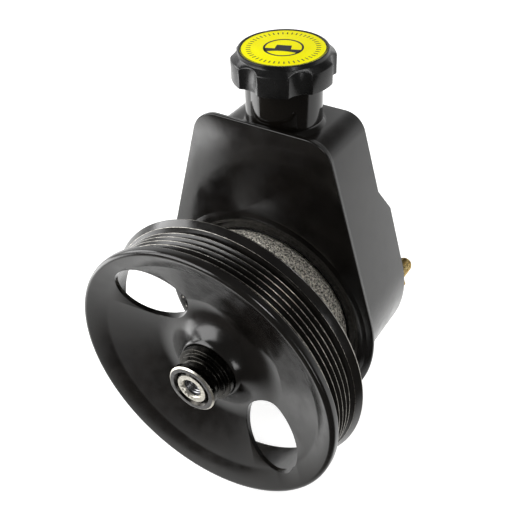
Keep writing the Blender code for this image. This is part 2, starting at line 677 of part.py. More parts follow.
def make_hub(seat_y):
    bore = SHAFT_RADIUS + GAP
    groove_front = HUB_FRONT_Y + HUB_END_LENGTH
    groove_rear = groove_front + PULLER_GROOVE_LENGTH
    step_rear = groove_rear + HUB_STEP_LENGTH
    shoulder_front = seat_y + GAP
    shoulder_rear = shoulder_front + HUB_SHOULDER_LENGTH
    profile = [(bore + HUB_CHAMFER, HUB_FRONT_Y), (HUB_END_RADIUS - HUB_CHAMFER, HUB_FRONT_Y),
               (HUB_END_RADIUS, HUB_FRONT_Y + HUB_CHAMFER), (HUB_END_RADIUS, groove_front - HUB_CHAMFER),
               (PULLER_GROOVE_RADIUS, groove_front), (PULLER_GROOVE_RADIUS, groove_rear),
               (HUB_STEP_RADIUS, groove_rear), (HUB_STEP_RADIUS, step_rear - HUB_CHAMFER),
               (HUB_RADIUS - HUB_CHAMFER, step_rear), (HUB_RADIUS, step_rear + HUB_CHAMFER),
               (HUB_RADIUS, shoulder_front), (HUB_SHOULDER_RADIUS, shoulder_front),
               (HUB_SHOULDER_RADIUS, shoulder_rear), (bore, shoulder_rear), (bore, HUB_FRONT_Y + HUB_CHAMFER)]
    return lathe("pulley_hub", profile, STEPS_SHAFT, "dark_steel")


def make_shaft():
    hole_floor = SHAFT_FRONT_Y + SHAFT_HOLE_DEPTH
    chamfer_y = SHAFT_FRONT_Y + SHAFT_CHAMFER
    profile = [(0, hole_floor), (SHAFT_HOLE_RADIUS, hole_floor), (SHAFT_HOLE_RADIUS, chamfer_y),
               (SHAFT_HOLE_RADIUS + SHAFT_CHAMFER, SHAFT_FRONT_Y), (SHAFT_RADIUS - SHAFT_CHAMFER, SHAFT_FRONT_Y),
               (SHAFT_RADIUS, chamfer_y), (SHAFT_RADIUS, SHAFT_SHOULDER_Y), (0, SHAFT_SHOULDER_Y)]
    shaft = lathe("drive_shaft", profile, STEPS_SHAFT, "bright_steel", closed=False)
    teeth = toothed_outline(SPLINE_ROOT_RADIUS, SPLINE_TIP_RADIUS, SPLINE_ROOT_HALF_ANGLE,
                            SPLINE_TIP_HALF_ANGLE)
    join(shaft, extruded("shaft_spline", [teeth], SHAFT_SHOULDER_Y - OVERSHOOT, SHAFT_REAR_Y))
    groove_front = RING_REAR_Y + GAP / 2
    groove_rear = groove_front + RETAINING_RING_THICKNESS + GAP
    far = SPLINE_TIP_RADIUS + OVERSHOOT
    groove = [(far, groove_front), (far, groove_rear), (RETAINING_GROOVE_RADIUS, groove_rear),
              (RETAINING_GROOVE_RADIUS, groove_front)]
    cut(shaft, lathe("shaft_ring_groove", groove, STEPS_SMALL))
    return shaft


def make_rotor():
    slot_half = VANE_THICKNESS / 2 + VANE_SLACK
    edge = asin(slot_half / ROTOR_RADIUS)
    pitch = 2 * pi / VANE_COUNT
    outline = []
    for slot in range(VANE_COUNT):
        middle = pitch * slot
        for v in (-slot_half, slot_half):
            outline.append((SLOT_FLOOR_RADIUS * cos(middle) - v * sin(middle),
                            SLOT_FLOOR_RADIUS * sin(middle) + v * cos(middle)))
        outline += arc((0, 0), ROTOR_RADIUS, middle + edge, middle + pitch - edge, 3)
    root_half = SPLINE_ROOT_HALF_ANGLE + SPLINE_SLACK_ANGLE
    tip_half = SPLINE_TIP_HALF_ANGLE + SPLINE_SLACK_ANGLE
    bore = toothed_outline(SPLINE_ROOT_RADIUS + GAP, SPLINE_TIP_RADIUS + GAP, root_half, tip_half)
    return extruded("rotor", [outline, bore], RING_FRONT_Y, RING_REAR_Y, "bright_steel")


def make_vanes():
    foot = SLOT_FLOOR_RADIUS + GAP
    tip = ROTOR_RADIUS - VANE_SINK
    shape = bmesh.new()
    bmesh.ops.create_cube(shape, size=1.0)
    bmesh.ops.scale(shape, vec=(tip - foot, RING_WIDTH - GAP, VANE_THICKNESS), verts=shape.verts)
    middle = ((foot + tip) / 2, (RING_FRONT_Y + RING_REAR_Y) / 2, 0)
    bmesh.ops.translate(shape, vec=middle, verts=shape.verts)
    mesh = bpy.data.meshes.new("vane")
    shape.to_mesh(mesh)
    shape.free()
    vanes = []
    for number in range(VANE_COUNT):
        vane = add("vane_%02d" % (number + 1), mesh, "spring_steel")
        vane.rotation_euler = (0, -2 * pi * number / VANE_COUNT, 0)
        vanes.append(vane)
    return vanes


def make_retaining_ring():
    outline = open_ring(RETAINING_GROOVE_RADIUS + GAP, RETAINING_RING_RADIUS, radians(24), 16)
    front = RING_REAR_Y + GAP
    rear = front + RETAINING_RING_THICKNESS
    return extruded("rotor_retaining_ring", [outline], front, rear, "spring_steel")


def make_housing():
    flange = HOUSING_FLANGE_RADIUS
    groove_floor = REGISTER_RADIUS - SEAL_GROOVE_DEPTH
    groove_rear = SEAL_GROOVE_Y + SEAL_GROOVE_WIDTH
    snap_groove = CHAMBER_RADIUS + SNAP_GROOVE_DEPTH
    snap_front = SNAP_FRONT_Y - GAP / 2
    snap_rear = SNAP_REAR_Y + GAP / 2
    profile = [(NOSE_RADIUS - EDGE, NOSE_FRONT_Y), (NOSE_RADIUS, NOSE_FRONT_Y + EDGE),
               (NOSE_RADIUS + EDGE, HOUSING_FACE_Y - NOSE_FILLET * 0.4),
               (NOSE_RADIUS + NOSE_FILLET, HOUSING_FACE_Y), (flange - HOUSING_CORNER, HOUSING_FACE_Y + EDGE),
               (flange - HOUSING_CORNER * 0.2, HOUSING_FACE_Y + HOUSING_CORNER / 2),
               (flange, HOUSING_FACE_Y + HOUSING_CORNER), (flange, REGISTER_FRONT_Y),
               (REGISTER_RADIUS, REGISTER_FRONT_Y), (REGISTER_RADIUS, SEAL_GROOVE_Y),
               (groove_floor, SEAL_GROOVE_Y), (groove_floor, groove_rear), (REGISTER_RADIUS, groove_rear),
               (REGISTER_RADIUS, REGISTER_REAR_Y), (HOUSING_RADIUS, REGISTER_REAR_Y),
               (HOUSING_RADIUS, HOUSING_REAR_Y), (CHAMBER_RADIUS, HOUSING_REAR_Y),
               (CHAMBER_RADIUS, snap_rear), (snap_groove, snap_rear), (snap_groove, snap_front),
               (CHAMBER_RADIUS, snap_front), (CHAMBER_RADIUS, CHAMBER_FRONT_Y),
               (BUSHING_BORE_RADIUS, CHAMBER_FRONT_Y), (BUSHING_BORE_RADIUS, SEAL_REAR_Y),
               (SEAL_RADIUS, SEAL_REAR_Y), (SEAL_RADIUS, NOSE_FRONT_Y)]
    housing = lathe("pump_housing", profile, STEPS_BODY, "black_cast")
    boss_rear = PLATE_FRONT_Y - GAP
    ear_rear = HOUSING_REAR_Y - SPIGOT_LENGTH
    ear_front = ear_rear - EAR_LENGTH
    web_half = EAR_RADIUS * EAR_WEB_SHARE
    for side in (-1, 1):
        join(housing, rod("front_boss_%+d" % side, BOSS_RADIUS, 0, boss_rear, (side * BOSS_DISTANCE, 0)))
        ear_at = (side * STUD_X, STUD_Z)
        web = sorted((side * (CHAMBER_RADIUS + HOUSING_WALL / 2), side * STUD_X))
        join(housing, block("ear_web_%+d" % side, (web[0], ear_front + EDGE, STUD_Z - web_half),
                            (web[1], ear_rear - EDGE, STUD_Z + web_half)))
        join(housing, rod("ear_%+d" % side, EAR_RADIUS, ear_front, ear_rear, ear_at))
        join(housing, rod("ear_spigot_%+d" % side, SPIGOT_RADIUS, ear_rear - 3 * EDGE, HOUSING_REAR_Y, ear_at))
    valve_at = (VALVE_X, VALVE_Z)
    join(housing, rod("valve_lobe", VALVE_LOBE_RADIUS, REGISTER_REAR_Y, HOUSING_REAR_Y, valve_at, STEPS_SHAFT))
    stud_floor = HOUSING_REAR_Y - STUD_ENGAGEMENT - GAP
    past_rear = HOUSING_REAR_Y + OVERSHOOT
    for side in (-1, 1):
        cut(housing, rod("front_hole_%+d" % side, BOLT_HOLE_RADIUS, -OVERSHOOT, BOLT_HOLE_DEPTH,
                         (side * BOSS_DISTANCE, 0), STEPS_BORE))
        cut(housing, rod("stud_hole_%+d" % side, STUD_ROOT_RADIUS + GAP, stud_floor, past_rear,
                         (side * STUD_X, STUD_Z), STEPS_BORE))
    cut(housing, rod("valve_bore", VALVE_BORE_RADIUS, VALVE_BORE_FRONT_Y, HOUSING_REAR_Y, valve_at))
    union_floor = HOUSING_REAR_Y - UNION_THREAD_LENGTH
    cut(housing, rod("union_bore", UNION_BORE_RADIUS, union_floor, past_rear, valve_at))
    cut(housing, make_passage())
    cut(housing, rod("magnet_pocket", MAGNET_RADIUS + GAP, REGISTER_REAR_Y - MAGNET_POCKET_DEPTH,
                     REGISTER_REAR_Y + OVERSHOOT, (0, MAGNET_Z), STEPS_BORE))
    return housing


def make_passage():
    """Drilled hole that leads oil from behind the pressure plate to the valve bore."""
    start = CHAMBER_RADIUS - PASSAGE_ENTRY
    middle = (start + VALVE_DISTANCE) / 2
    shape = bmesh.new()
    bmesh.ops.create_cone(shape, cap_ends=True, segments=STEPS_PIN, radius1=PASSAGE_RADIUS,
                          radius2=PASSAGE_RADIUS, depth=VALVE_DISTANCE - start)
    mesh = bpy.data.meshes.new("oil_passage")
    shape.to_mesh(mesh)
    shape.free()
    passage = add("oil_passage", mesh)
    passage_y = PRESSURE_REAR_Y + PASSAGE_RADIUS
    passage.location = (middle * cos(VALVE_ANGLE), passage_y, middle * sin(VALVE_ANGLE))
    passage.rotation_euler = (0, pi / 2 - VALVE_ANGLE, 0)
    return passage


def make_bushing_and_seal():
    outer = BUSHING_BORE_RADIUS - GAP
    inner = SHAFT_RADIUS + GAP
    front = SEAL_REAR_Y + EDGE
    rear = CHAMBER_FRONT_Y - EDGE
    bushing = [(outer, front), (outer, rear), (inner, rear), (inner, front)]
    lathe("shaft_bushing", bushing, STEPS_SHAFT, "bronze")
    shell = SEAL_RADIUS - GAP
    seal_front = NOSE_FRONT_Y + EDGE / 2
    seal_rear = SEAL_REAR_Y - GAP
    web_rear = seal_front + SEAL_SHELL * 1.5
    lip = inner + SEAL_SHELL
    seal = [(inner, seal_front), (shell, seal_front), (shell, seal_rear), (shell - SEAL_SHELL, seal_rear),
            (shell - SEAL_SHELL, web_rear), (lip, web_rear), (lip, seal_rear - 2 * EDGE),
            (inner, seal_rear - 3 * EDGE)]
    lathe("shaft_seal", seal, STEPS_SHAFT, "rubber")


def make_cartridge():
    """Thrust plate, cam ring, pressure plate, spring, end plate, rings and pins in the chamber."""
    radius = CARTRIDGE_RADIUS
    pin_hole = PIN_RADIUS + GAP
    pin_holes = [circle((0, side * PIN_DISTANCE), pin_hole, STEPS_PIN) for side in (-1, 1)]
    rim = circle((0, 0), radius, STEPS_BODY)
    shaft_pass = circle((0, 0), SPLINE_TIP_RADIUS + 2 * GAP, STEPS_SHAFT)
    extruded("thrust_plate", [rim, shaft_pass] + pin_holes, THRUST_FRONT_Y, THRUST_REAR_Y, "dark_steel")
    oval = []
    for i in range(STEPS_BODY):
        angle = 2 * pi * i / STEPS_BODY
        reach = RING_MEAN_RADIUS + RING_LIFT * cos(2 * angle)
        oval.append((reach * cos(angle), reach * sin(angle)))
    extruded("cam_ring", [rim, oval] + pin_holes, RING_FRONT_Y, RING_REAR_Y, "bright_steel")
    groove = radius - PLATE_GROOVE_DEPTH
    groove_rear = PRESSURE_REAR_Y - PLATE_GROOVE_LAND
    groove_front = groove_rear - PLATE_GROOVE_WIDTH
    pocket_floor = PRESSURE_FRONT_Y + POCKET_DEPTH
    profile = [(0, pocket_floor), (POCKET_RADIUS, pocket_floor), (POCKET_RADIUS, PRESSURE_FRONT_Y),
               (radius, PRESSURE_FRONT_Y), (radius, groove_front), (groove, groove_front),
               (groove, groove_rear), (radius, groove_rear), (radius, PRESSURE_REAR_Y), (0, PRESSURE_REAR_Y)]
    pressure = lathe("pressure_plate", profile, STEPS_BODY, "dark_steel", closed=False)
    seal_thickness = (radius - groove - GAP) / 2
    seal_radius = radius - seal_thickness
    section = ring_section(seal_radius, seal_thickness, (groove_front + groove_rear) / 2)
    lathe("pressure_plate_seal", section, STEPS_BODY, "rubber")
    coil("pressure_plate_spring", PRESSURE_SPRING_RADIUS, PRESSURE_SPRING_WIRE, PRESSURE_REAR_Y + GAP,
         END_PLATE_FRONT_Y - GAP, PRESSURE_SPRING_TURNS, (0, 0), "spring_steel", 12)
    groove_front = END_PLATE_FRONT_Y + PLATE_GROOVE_LAND
    groove_rear = groove_front + PLATE_GROOVE_WIDTH
    profile = [(0, END_PLATE_FRONT_Y), (radius, END_PLATE_FRONT_Y), (radius, groove_front),
               (groove, groove_front), (groove, groove_rear), (radius, groove_rear),
               (radius, END_PLATE_REAR_Y), (0, END_PLATE_REAR_Y)]
    lathe("end_plate", profile, STEPS_BODY, "dark_steel", closed=False)
    section = ring_section(seal_radius, seal_thickness, (groove_front + groove_rear) / 2)
    lathe("end_plate_seal", section, STEPS_BODY, "rubber")
    snap_outer = CHAMBER_RADIUS + SNAP_GROOVE_DEPTH - GAP
    snap = open_ring(CHAMBER_RADIUS - SNAP_RING_REACH, snap_outer, radians(9), 26)
    extruded("end_plate_snap_ring", [snap], SNAP_FRONT_Y, SNAP_REAR_Y, "spring_steel")
    before = PRESSURE_FRONT_Y - OVERSHOOT
    port_z = PORT_DISTANCE * sin(PORT_ANGLE)
    for side, word in ((-1, "lower"), (1, "upper")):
        pin_at = (0, side * PIN_DISTANCE)
        port_at = (side * PORT_DISTANCE * cos(PORT_ANGLE), port_z)
        cut(pressure, rod("pin_hole_" + word, pin_hole, before, PRESSURE_FRONT_Y + PIN_ENTRY + GAP, pin_at,
                          STEPS_PIN))
        cut(pressure, rod("port_%+d" % side, PORT_RADIUS, before, PRESSURE_REAR_Y + OVERSHOOT, port_at,
                          STEPS_PIN))
        rod("dowel_pin_" + word, PIN_RADIUS, THRUST_FRONT_Y + GAP, PRESSURE_FRONT_Y + PIN_ENTRY, pin_at,
            STEPS_PIN, "bright_steel")


def make_flow_valve():
    centre = (VALVE_X, VALVE_Z)
    outer = VALVE_BORE_RADIUS - GAP
    bore_floor = SPOOL_REAR_Y - SPOOL_END_WALL
    front_land = SPOOL_FRONT_Y + SPOOL_LAND
    rear_land = SPOOL_REAR_Y - SPOOL_LAND
    profile = [(SPOOL_BORE_RADIUS, SPOOL_FRONT_Y), (outer, SPOOL_FRONT_Y), (outer, front_land),
               (SPOOL_GROOVE_RADIUS, front_land), (SPOOL_GROOVE_RADIUS, rear_land), (outer, rear_land),
               (outer, SPOOL_REAR_Y), (SPOOL_SEAT_RADIUS, SPOOL_REAR_Y), (SPOOL_SEAT_RADIUS, bore_floor),
               (SPOOL_BORE_RADIUS, bore_floor)]
    spool = lathe("flow_valve_spool", profile, STEPS_SMALL, "bright_steel", centre=centre)
    inner = SPOOL_BORE_RADIUS - GAP
    plug_front = SPOOL_FRONT_Y + GAP
    plug_rear = plug_front + RELIEF_PLUG_THICKNESS
    hole = RELIEF_PLUG_HOLE_RADIUS
    section = [(hole, plug_front), (inner, plug_front), (inner, plug_rear), (hole, plug_rear)]
    plug = lathe("relief_plug", section, STEPS_BORE, "dark_steel", centre=centre)
    ball_y = bore_floor - GAP - RELIEF_BALL_RADIUS
    shape = bmesh.new()
    bmesh.ops.create_uvsphere(shape, u_segments=10, v_segments=6, radius=RELIEF_BALL_RADIUS)
    mesh = bpy.data.meshes.new("relief_ball")
    shape.to_mesh(mesh)
    shape.free()
    ball = add("relief_ball", mesh, "bright_steel")
    ball.rotation_euler = (pi / 2, 0, 0)
    ball.location = (VALVE_X, ball_y, VALVE_Z)
    guide_rear = ball_y - RELIEF_BALL_RADIUS - GAP
    guide_front = guide_rear - RELIEF_GUIDE_THICKNESS
    guide = rod("relief_ball_guide", inner - GAP, guide_front, guide_rear, centre, STEPS_BORE, "dark_steel")
    coil("relief_spring", RELIEF_SPRING_RADIUS, RELIEF_SPRING_WIRE, plug_rear + GAP, guide_front - GAP,
         RELIEF_SPRING_TURNS, centre, "spring_steel")
    coil("flow_valve_spring", VALVE_SPRING_RADIUS, VALVE_SPRING_WIRE, VALVE_BORE_FRONT_Y + GAP,
         SPOOL_FRONT_Y - GAP, VALVE_SPRING_TURNS, centre, "spring_steel")
    hang([spool, plug], "flow_valve_axis", (VALVE_X, SPOOL_REAR_Y, VALVE_Z))
    hang([ball, guide], "relief_ball_axis", (VALVE_X, ball_y, VALVE_Z))


def washer(name, outer, inner, steps, centre):
    """Sealing washer on the can's rear face."""
    front = CAN_REAR_Y + GAP
    rear = front + WASHER_THICKNESS
    lathe(name, [(outer, front), (outer, rear), (inner, rear), (inner, front)], steps, "rubber", centre=centre)


def make_outlet_union():
    centre = (VALVE_X, VALVE_Z)
    thread = UNION_BORE_RADIUS - GAP
    nose_rear = UNION_FRONT_Y + UNION_NOSE_LENGTH + GAP
    hex_front = CAN_REAR_Y + GAP + WASHER_THICKNESS + GAP
    hex_rear = hex_front + UNION_HEX_LENGTH
    thread_rear = hex_front + EDGE
    end = hex_rear + UNION_END_LENGTH
    taper = UNION_END_TAPER
    profile = [(UNION_PORT_RADIUS, UNION_FRONT_Y), (UNION_NOSE_RADIUS, UNION_FRONT_Y),
               (UNION_NOSE_RADIUS, nose_rear), (thread, nose_rear), (thread, thread_rear),
               (UNION_END_RADIUS, thread_rear), (UNION_END_RADIUS, end - taper),
               (UNION_END_RADIUS - taper * 0.8, end), (UNION_PORT_RADIUS, end)]
    union = lathe("outlet_union", profile, STEPS_SMALL, "yellow_zinc", centre=centre)
    hole = (UNION_PORT_RADIUS + UNION_END_RADIUS) / 2 + EDGE
    outline = [hexagon(centre, UNION_HEX), circle(centre, hole, STEPS_SMALL)]
    join(union, extruded("union_hexagon", outline, hex_front, hex_rear))
    washer("outlet_seal", UNION_HEX / 2 - GAP, thread + GAP, STEPS_SMALL, centre)


def make_studs():
    hex_front = CAN_REAR_Y + GAP + WASHER_THICKNESS + GAP
    hex_rear = hex_front + STUD_HEX_LENGTH
    root_rear = hex_front + EDGE
    tip = CAN_REAR_Y + STUD_REACH
    front = HOUSING_REAR_Y - STUD_ENGAGEMENT
    for side, word in ((-1, "left"), (1, "right")):
        centre = (side * STUD_X, STUD_Z)
        profile = [(0, front), (STUD_ROOT_RADIUS, front), (STUD_ROOT_RADIUS, root_rear),
                   (STUD_RADIUS, root_rear), (STUD_RADIUS, tip - STUD_CHAMFER),
                   (STUD_RADIUS - STUD_CHAMFER, tip), (0, tip)]
        stud = lathe("mounting_stud_" + word, profile, STEPS_BORE, "yellow_zinc", centre=centre,
                     closed=False)
        join(stud, extruded("stud_hexagon_" + word, [hexagon(centre, STUD_HEX)], hex_front, hex_rear))
        washer("stud_seal_" + word, STUD_HEX / 2, STUD_ROOT_RADIUS + GAP, STEPS_BORE, centre)


def make_front_plate():
    rear = PLATE_FRONT_Y + PLATE_SHEET
    outline = [teardrop(0, PLATE_CORNER_RADIUS), circle((0, 0), DISH_RADIUS, STEPS_BODY)]
    plate = extruded("reservoir_front_plate", outline, PLATE_FRONT_Y, rear, "black_paint")
    hole = REGISTER_RADIUS + GAP
    outer = hole + PLATE_SHEET
    dish = PLATE_FRONT_Y + DISH_DEPTH
    dish_rear = dish + PLATE_SHEET
    rim = DISH_RADIUS - DISH_BEND
    front_lap = PLATE_FRONT_Y + GAP
    rear_lap = rear - GAP
    collar_front = dish + COLLAR_BEND
    collar_rear = REGISTER_REAR_Y - EDGE
    profile = [(DISH_RADIUS + EDGE, front_lap), (DISH_RADIUS + EDGE, rear_lap), (DISH_RADIUS, rear_lap),
               (rim, dish_rear), (outer + EDGE, dish_rear), (outer, collar_front + GAP), (outer, collar_rear),
               (hole, collar_rear), (hole, collar_front), (hole + PLATE_SHEET, dish), (rim, dish),
               (DISH_RADIUS - DISH_BEND / 8, front_lap)]
    join(plate, lathe("plate_collar", profile, STEPS_BODY))
    groove_floor = REGISTER_RADIUS - SEAL_GROOVE_DEPTH
    seal_thickness = (hole - groove_floor - 1.5 * GAP) / 2
    seal_radius = groove_floor + GAP / 2 + seal_thickness
    section = ring_section(seal_radius, seal_thickness, SEAL_GROOVE_Y + SEAL_GROOVE_WIDTH / 2)
    lathe("reservoir_seal", section, STEPS_BODY, "rubber")
    return plate


def step_cutter(name, rear_y, upper_rear_y):
    """Wedge that sets the can's rear face forward above the valve."""
    far_x = PLATE_ROUND_RADIUS + OVERSHOOT
    far_y = rear_y + CAN_STEP
    far_z = PLATE_TOP_Z + OVERSHOOT
    rise = (rear_y - upper_rear_y) / STEP_RISE
    low_z = STEP_LOW_Z - (far_y - rear_y) / rise
    section = [(upper_rear_y, STEP_HIGH_Z), (upper_rear_y, far_z), (far_y, far_z), (far_y, low_z)]
    shape = bmesh.new()
    verts = [shape.verts.new((x, y, z)) for x in (-far_x, far_x) for y, z in section]
    shape.faces.new(verts[:4])
    shape.faces.new(verts[4:])
    for i in range(4):
        j = (i + 1) % 4
        shape.faces.new((verts[i], verts[j], verts[j + 4], verts[i + 4]))
    bmesh.ops.recalc_face_normals(shape, faces=shape.faces)
    mesh = bpy.data.meshes.new(name)
    shape.to_mesh(mesh)
    shape.free()
    return add(name, mesh)


def drawn_body(name, inset, rear_y, upper_rear_y, rear_radius, finish=None):
    """Rounded two-step form of the can, still long at its front."""
    front = CAN_FRONT_Y - 3 * CAN_REAR_RADIUS
    outline = teardrop(inset, CAN_CORNER_RADIUS - (inset - CAN_INSET))
    body = extruded(name, [outline], front, rear_y, finish, merge_flats=True)
    cut(body, step_cutter(name + "_step", rear_y, upper_rear_y))
    bevel = body.modifiers.new("drawn_edge", "BEVEL")
    bevel.width = rear_radius
    bevel.segments = 2
    bevel.limit_method = "ANGLE"
    bevel.angle_limit = radians(40)
    return body


def make_can():
    can = drawn_body("reservoir_can", CAN_INSET, CAN_REAR_Y, CAN_UPPER_REAR_Y, CAN_REAR_RADIUS, "black_paint")
    outline = [teardrop(CAN_FLANGE_INSET, PLATE_CORNER_RADIUS),
               teardrop(CAN_INSET + CAN_WALL / 2, CAN_CORNER_RADIUS)]
    join(can, extruded("can_flange", outline, CAN_FRONT_Y - EDGE, CAN_FRONT_Y + CAN_WALL))
    cut(can, drawn_body("can_cavity", CAN_INSET + CAN_WALL, CAN_REAR_Y - CAN_WALL, CAN_UPPER_REAR_Y - CAN_WALL,
                        CAN_REAR_RADIUS - CAN_WALL))
    far = PLATE_ROUND_RADIUS + OVERSHOOT
    cut(can, block("can_front_trim", (-far, CAN_FRONT_Y - 4 * CAN_REAR_RADIUS, -far),
                   (far, CAN_FRONT_Y, PLATE_TOP_Z + OVERSHOOT)))
    cut(can, rod("filler_hole", NECK_RADIUS - NECK_WALL - 2 * EDGE, CAN_TOP_Z - CAN_WALL - OVERSHOOT,
                 CAN_TOP_Z + OVERSHOOT, (0, NECK_Y), STEPS_SHAFT, along="Z"))
    through = (CAN_REAR_Y - CAN_WALL - OVERSHOOT, CAN_REAR_Y + OVERSHOOT)
    for side in (-1, 1):
        cut(can, rod("can_stud_hole_%+d" % side, STUD_ROOT_RADIUS + GAP, *through, (side * STUD_X, STUD_Z),
                     STEPS_BORE))
    cut(can, rod("can_union_hole", UNION_BORE_RADIUS, *through, (VALVE_X, VALVE_Z)))
    cut(can, rod("can_return_hole", RETURN_RADIUS - RETURN_WALL, CAN_UPPER_REAR_Y - CAN_WALL - OVERSHOOT,
                 CAN_UPPER_REAR_Y + OVERSHOOT, (RETURN_X, RETURN_Z), STEPS_BORE))
    return can


def make_neck():
    base = CAN_TOP_Z + GAP
    foot = NECK_RADIUS + NECK_FOOT
    inner = NECK_RADIUS - NECK_WALL
    lip_bottom = NECK_TOP_Z - NECK_LIP_THICKNESS
    profile = [(NECK_LIP_RADIUS, NECK_TOP_Z), (NECK_RADIUS - FINE_EDGE, NECK_TOP_Z),
               (NECK_RADIUS, NECK_TOP_Z - FINE_EDGE), (NECK_RADIUS, base + 2 * NECK_FOOT),
               (foot, base + NECK_FOOT), (foot, base), (inner, base), (inner, lip_bottom),
               (NECK_LIP_RADIUS, lip_bottom)]
    neck = lathe("filler_neck", profile, STEPS_NECK, "black_paint", along="Z", centre=(0, NECK_Y))
    reach = (LUG_RADIUS + inner) / 2
    cut(neck, block("neck_notches", (-reach, NECK_Y - NOTCH_WIDTH / 2, lip_bottom - OVERSHOOT / 2),
                    (reach, NECK_Y + NOTCH_WIDTH / 2, NECK_TOP_Z + OVERSHOOT)))
    return neck


def make_cap():
    centre = (0, NECK_Y)
    lobe_reach = CAP_LOBE_RADIUS + GAP
    above = CAP_TOP_Z + OVERSHOOT
    below = CAP_SKIRT_Z - OVERSHOOT
    cap = extruded("cap", [lobed_outline()], CAP_SKIRT_Z, CAP_TOP_Z, "black_plastic", along="Z")
    envelope = [(0, above), (CAP_RIM_RADIUS, above), (CAP_RIM_RADIUS, CAP_TOP_Z - CAP_RIM_DROP),
                (lobe_reach, CAP_SHOULDER_Z), (lobe_reach, below), (0, below)]
    common(cap, lathe("cap_envelope", envelope, STEPS_NECK, along="Z", centre=centre, closed=False))
    well = [(STEM_RADIUS, CAP_CEILING_Z), (CAP_SKIRT_RADIUS, CAP_CEILING_Z), (CAP_SKIRT_RADIUS, below),
            (STEM_RADIUS, below)]
    cut(cap, lathe("cap_well", well, STEPS_NECK, along="Z", centre=centre))
    join(cap, rod("cap_stem", STEM_RADIUS - GAP / 3, STEM_BOTTOM_Z, CAP_CEILING_Z + EDGE, centre, STEPS_NECK,
                  along="Z"))
    join(cap, block("cap_lugs", (-LUG_RADIUS, NECK_Y - LUG_WIDTH / 2, LUG_TOP_Z - LUG_HEIGHT),
                    (LUG_RADIUS, NECK_Y + LUG_WIDTH / 2, LUG_TOP_Z)))
    cut(cap, rod("label_recess", LABEL_RADIUS + GAP, CAP_TOP_Z - LABEL_RECESS, above, centre, STEPS_NECK,
                 along="Z"))
    peg_top = STEM_BOTTOM_Z + DIPSTICK_PEG_LENGTH
    cut(cap, rod("dipstick_socket", DIPSTICK_PEG_RADIUS + GAP, STEM_BOTTOM_Z - OVERSHOOT, peg_top + GAP, centre,
                 STEPS_BORE, along="Z"))
    label_floor = CAP_TOP_Z - LABEL_RECESS + GAP
    label = rod("cap_label", LABEL_RADIUS, label_floor, label_floor + LABEL_THICKNESS, centre, STEPS_NECK,
                "yellow_label", along="Z")
    blade_top = STEM_BOTTOM_Z - GAP
    dipstick = block("dipstick", (-DIPSTICK_WIDTH / 2, NECK_Y - DIPSTICK_THICKNESS / 2, DIPSTICK_BOTTOM_Z),
                     (DIPSTICK_WIDTH / 2, NECK_Y + DIPSTICK_THICKNESS / 2, blade_top), "black_plastic")
    join(dipstick, rod("dipstick_peg", DIPSTICK_PEG_RADIUS, blade_top - 3 * EDGE, peg_top, centre, STEPS_BORE,
                       along="Z"))
    gasket_low = NECK_TOP_Z + GAP
    gasket_high = gasket_low + GASKET_THICKNESS
    gasket_outer = NECK_RADIUS - GASKET_INSET
    gasket_inner = NECK_LIP_RADIUS + FINE_EDGE
    section = [(gasket_inner, gasket_high), (gasket_outer, gasket_high), (gasket_outer, gasket_low),
               (gasket_inner, gasket_low)]
    gasket = lathe("cap_gasket", section, STEPS_NECK, "rubber", along="Z", centre=centre)
    hang([cap, label, dipstick, gasket], "cap_axis", (0, NECK_Y, NECK_TOP_Z))


def make_return_tube():
    front = CAN_UPPER_REAR_Y + GAP
    foot_rear = front + RETURN_FOOT_THICKNESS
    inner = RETURN_RADIUS - RETURN_WALL
    rear = front + RETURN_LENGTH
    bead = RETURN_RADIUS + RETURN_BEAD
    bead_rear = rear - RETURN_BEAD_INSET
    profile = [(inner, front), (RETURN_FOOT_RADIUS, front), (RETURN_FOOT_RADIUS, foot_rear),
               (RETURN_RADIUS, foot_rear), (RETURN_RADIUS, bead_rear - 3 * EDGE), (bead, bead_rear - 2 * EDGE),
               (bead, bead_rear - EDGE), (RETURN_RADIUS, bead_rear), (RETURN_RADIUS, rear), (inner, rear)]
    lathe("return_tube", profile, STEPS_BORE, "black_paint", centre=(RETURN_X, RETURN_Z))


def make_magnet():
    front = REGISTER_REAR_Y - MAGNET_POCKET_DEPTH + GAP
    rod("magnet", MAGNET_RADIUS, front, front + MAGNET_THICKNESS, (0, MAGNET_Z), STEPS_BORE, "magnet_grey")


def shade(obj):
    """Smooth the round faces and keep the machined edges crisp."""
    if obj.type != "MESH":
        return
    obj.data.shade_smooth()
    obj.data.set_sharp_from_angle(angle=radians(35))


def main():
    make_housing()
    make_bushing_and_seal()
    make_cartridge()
    make_flow_valve()
    make_outlet_union()
    make_studs()
    make_magnet()
    make_front_plate()
    make_can()
    make_neck()
    make_return_tube()
    pulley, hub_seat_y = make_pulley()
    turning = [pulley, make_hub(hub_seat_y), make_shaft(), make_rotor(), make_retaining_ring()]
    hang(turning + make_vanes(), "pulley_axis", (0, 0, 0))
    make_cap()
    for obj in PARTS.objects:
        shade(obj)


main()
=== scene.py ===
# %% [markdown]
# # Power steering pump
# A belt turns the grooved pulley, the pulley turns a vane pump inside the casting, and the sheet
# steel reservoir wrapped round the casting holds the fluid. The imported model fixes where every
# piece is. This script gives those pieces their finer shapes and their finishes.

# %% Load the frame
from math import acos, atan2, cos, hypot, pi, radians, sin, sqrt, tan

import bmesh
import bpy
from mathutils import Matrix, Vector, noise


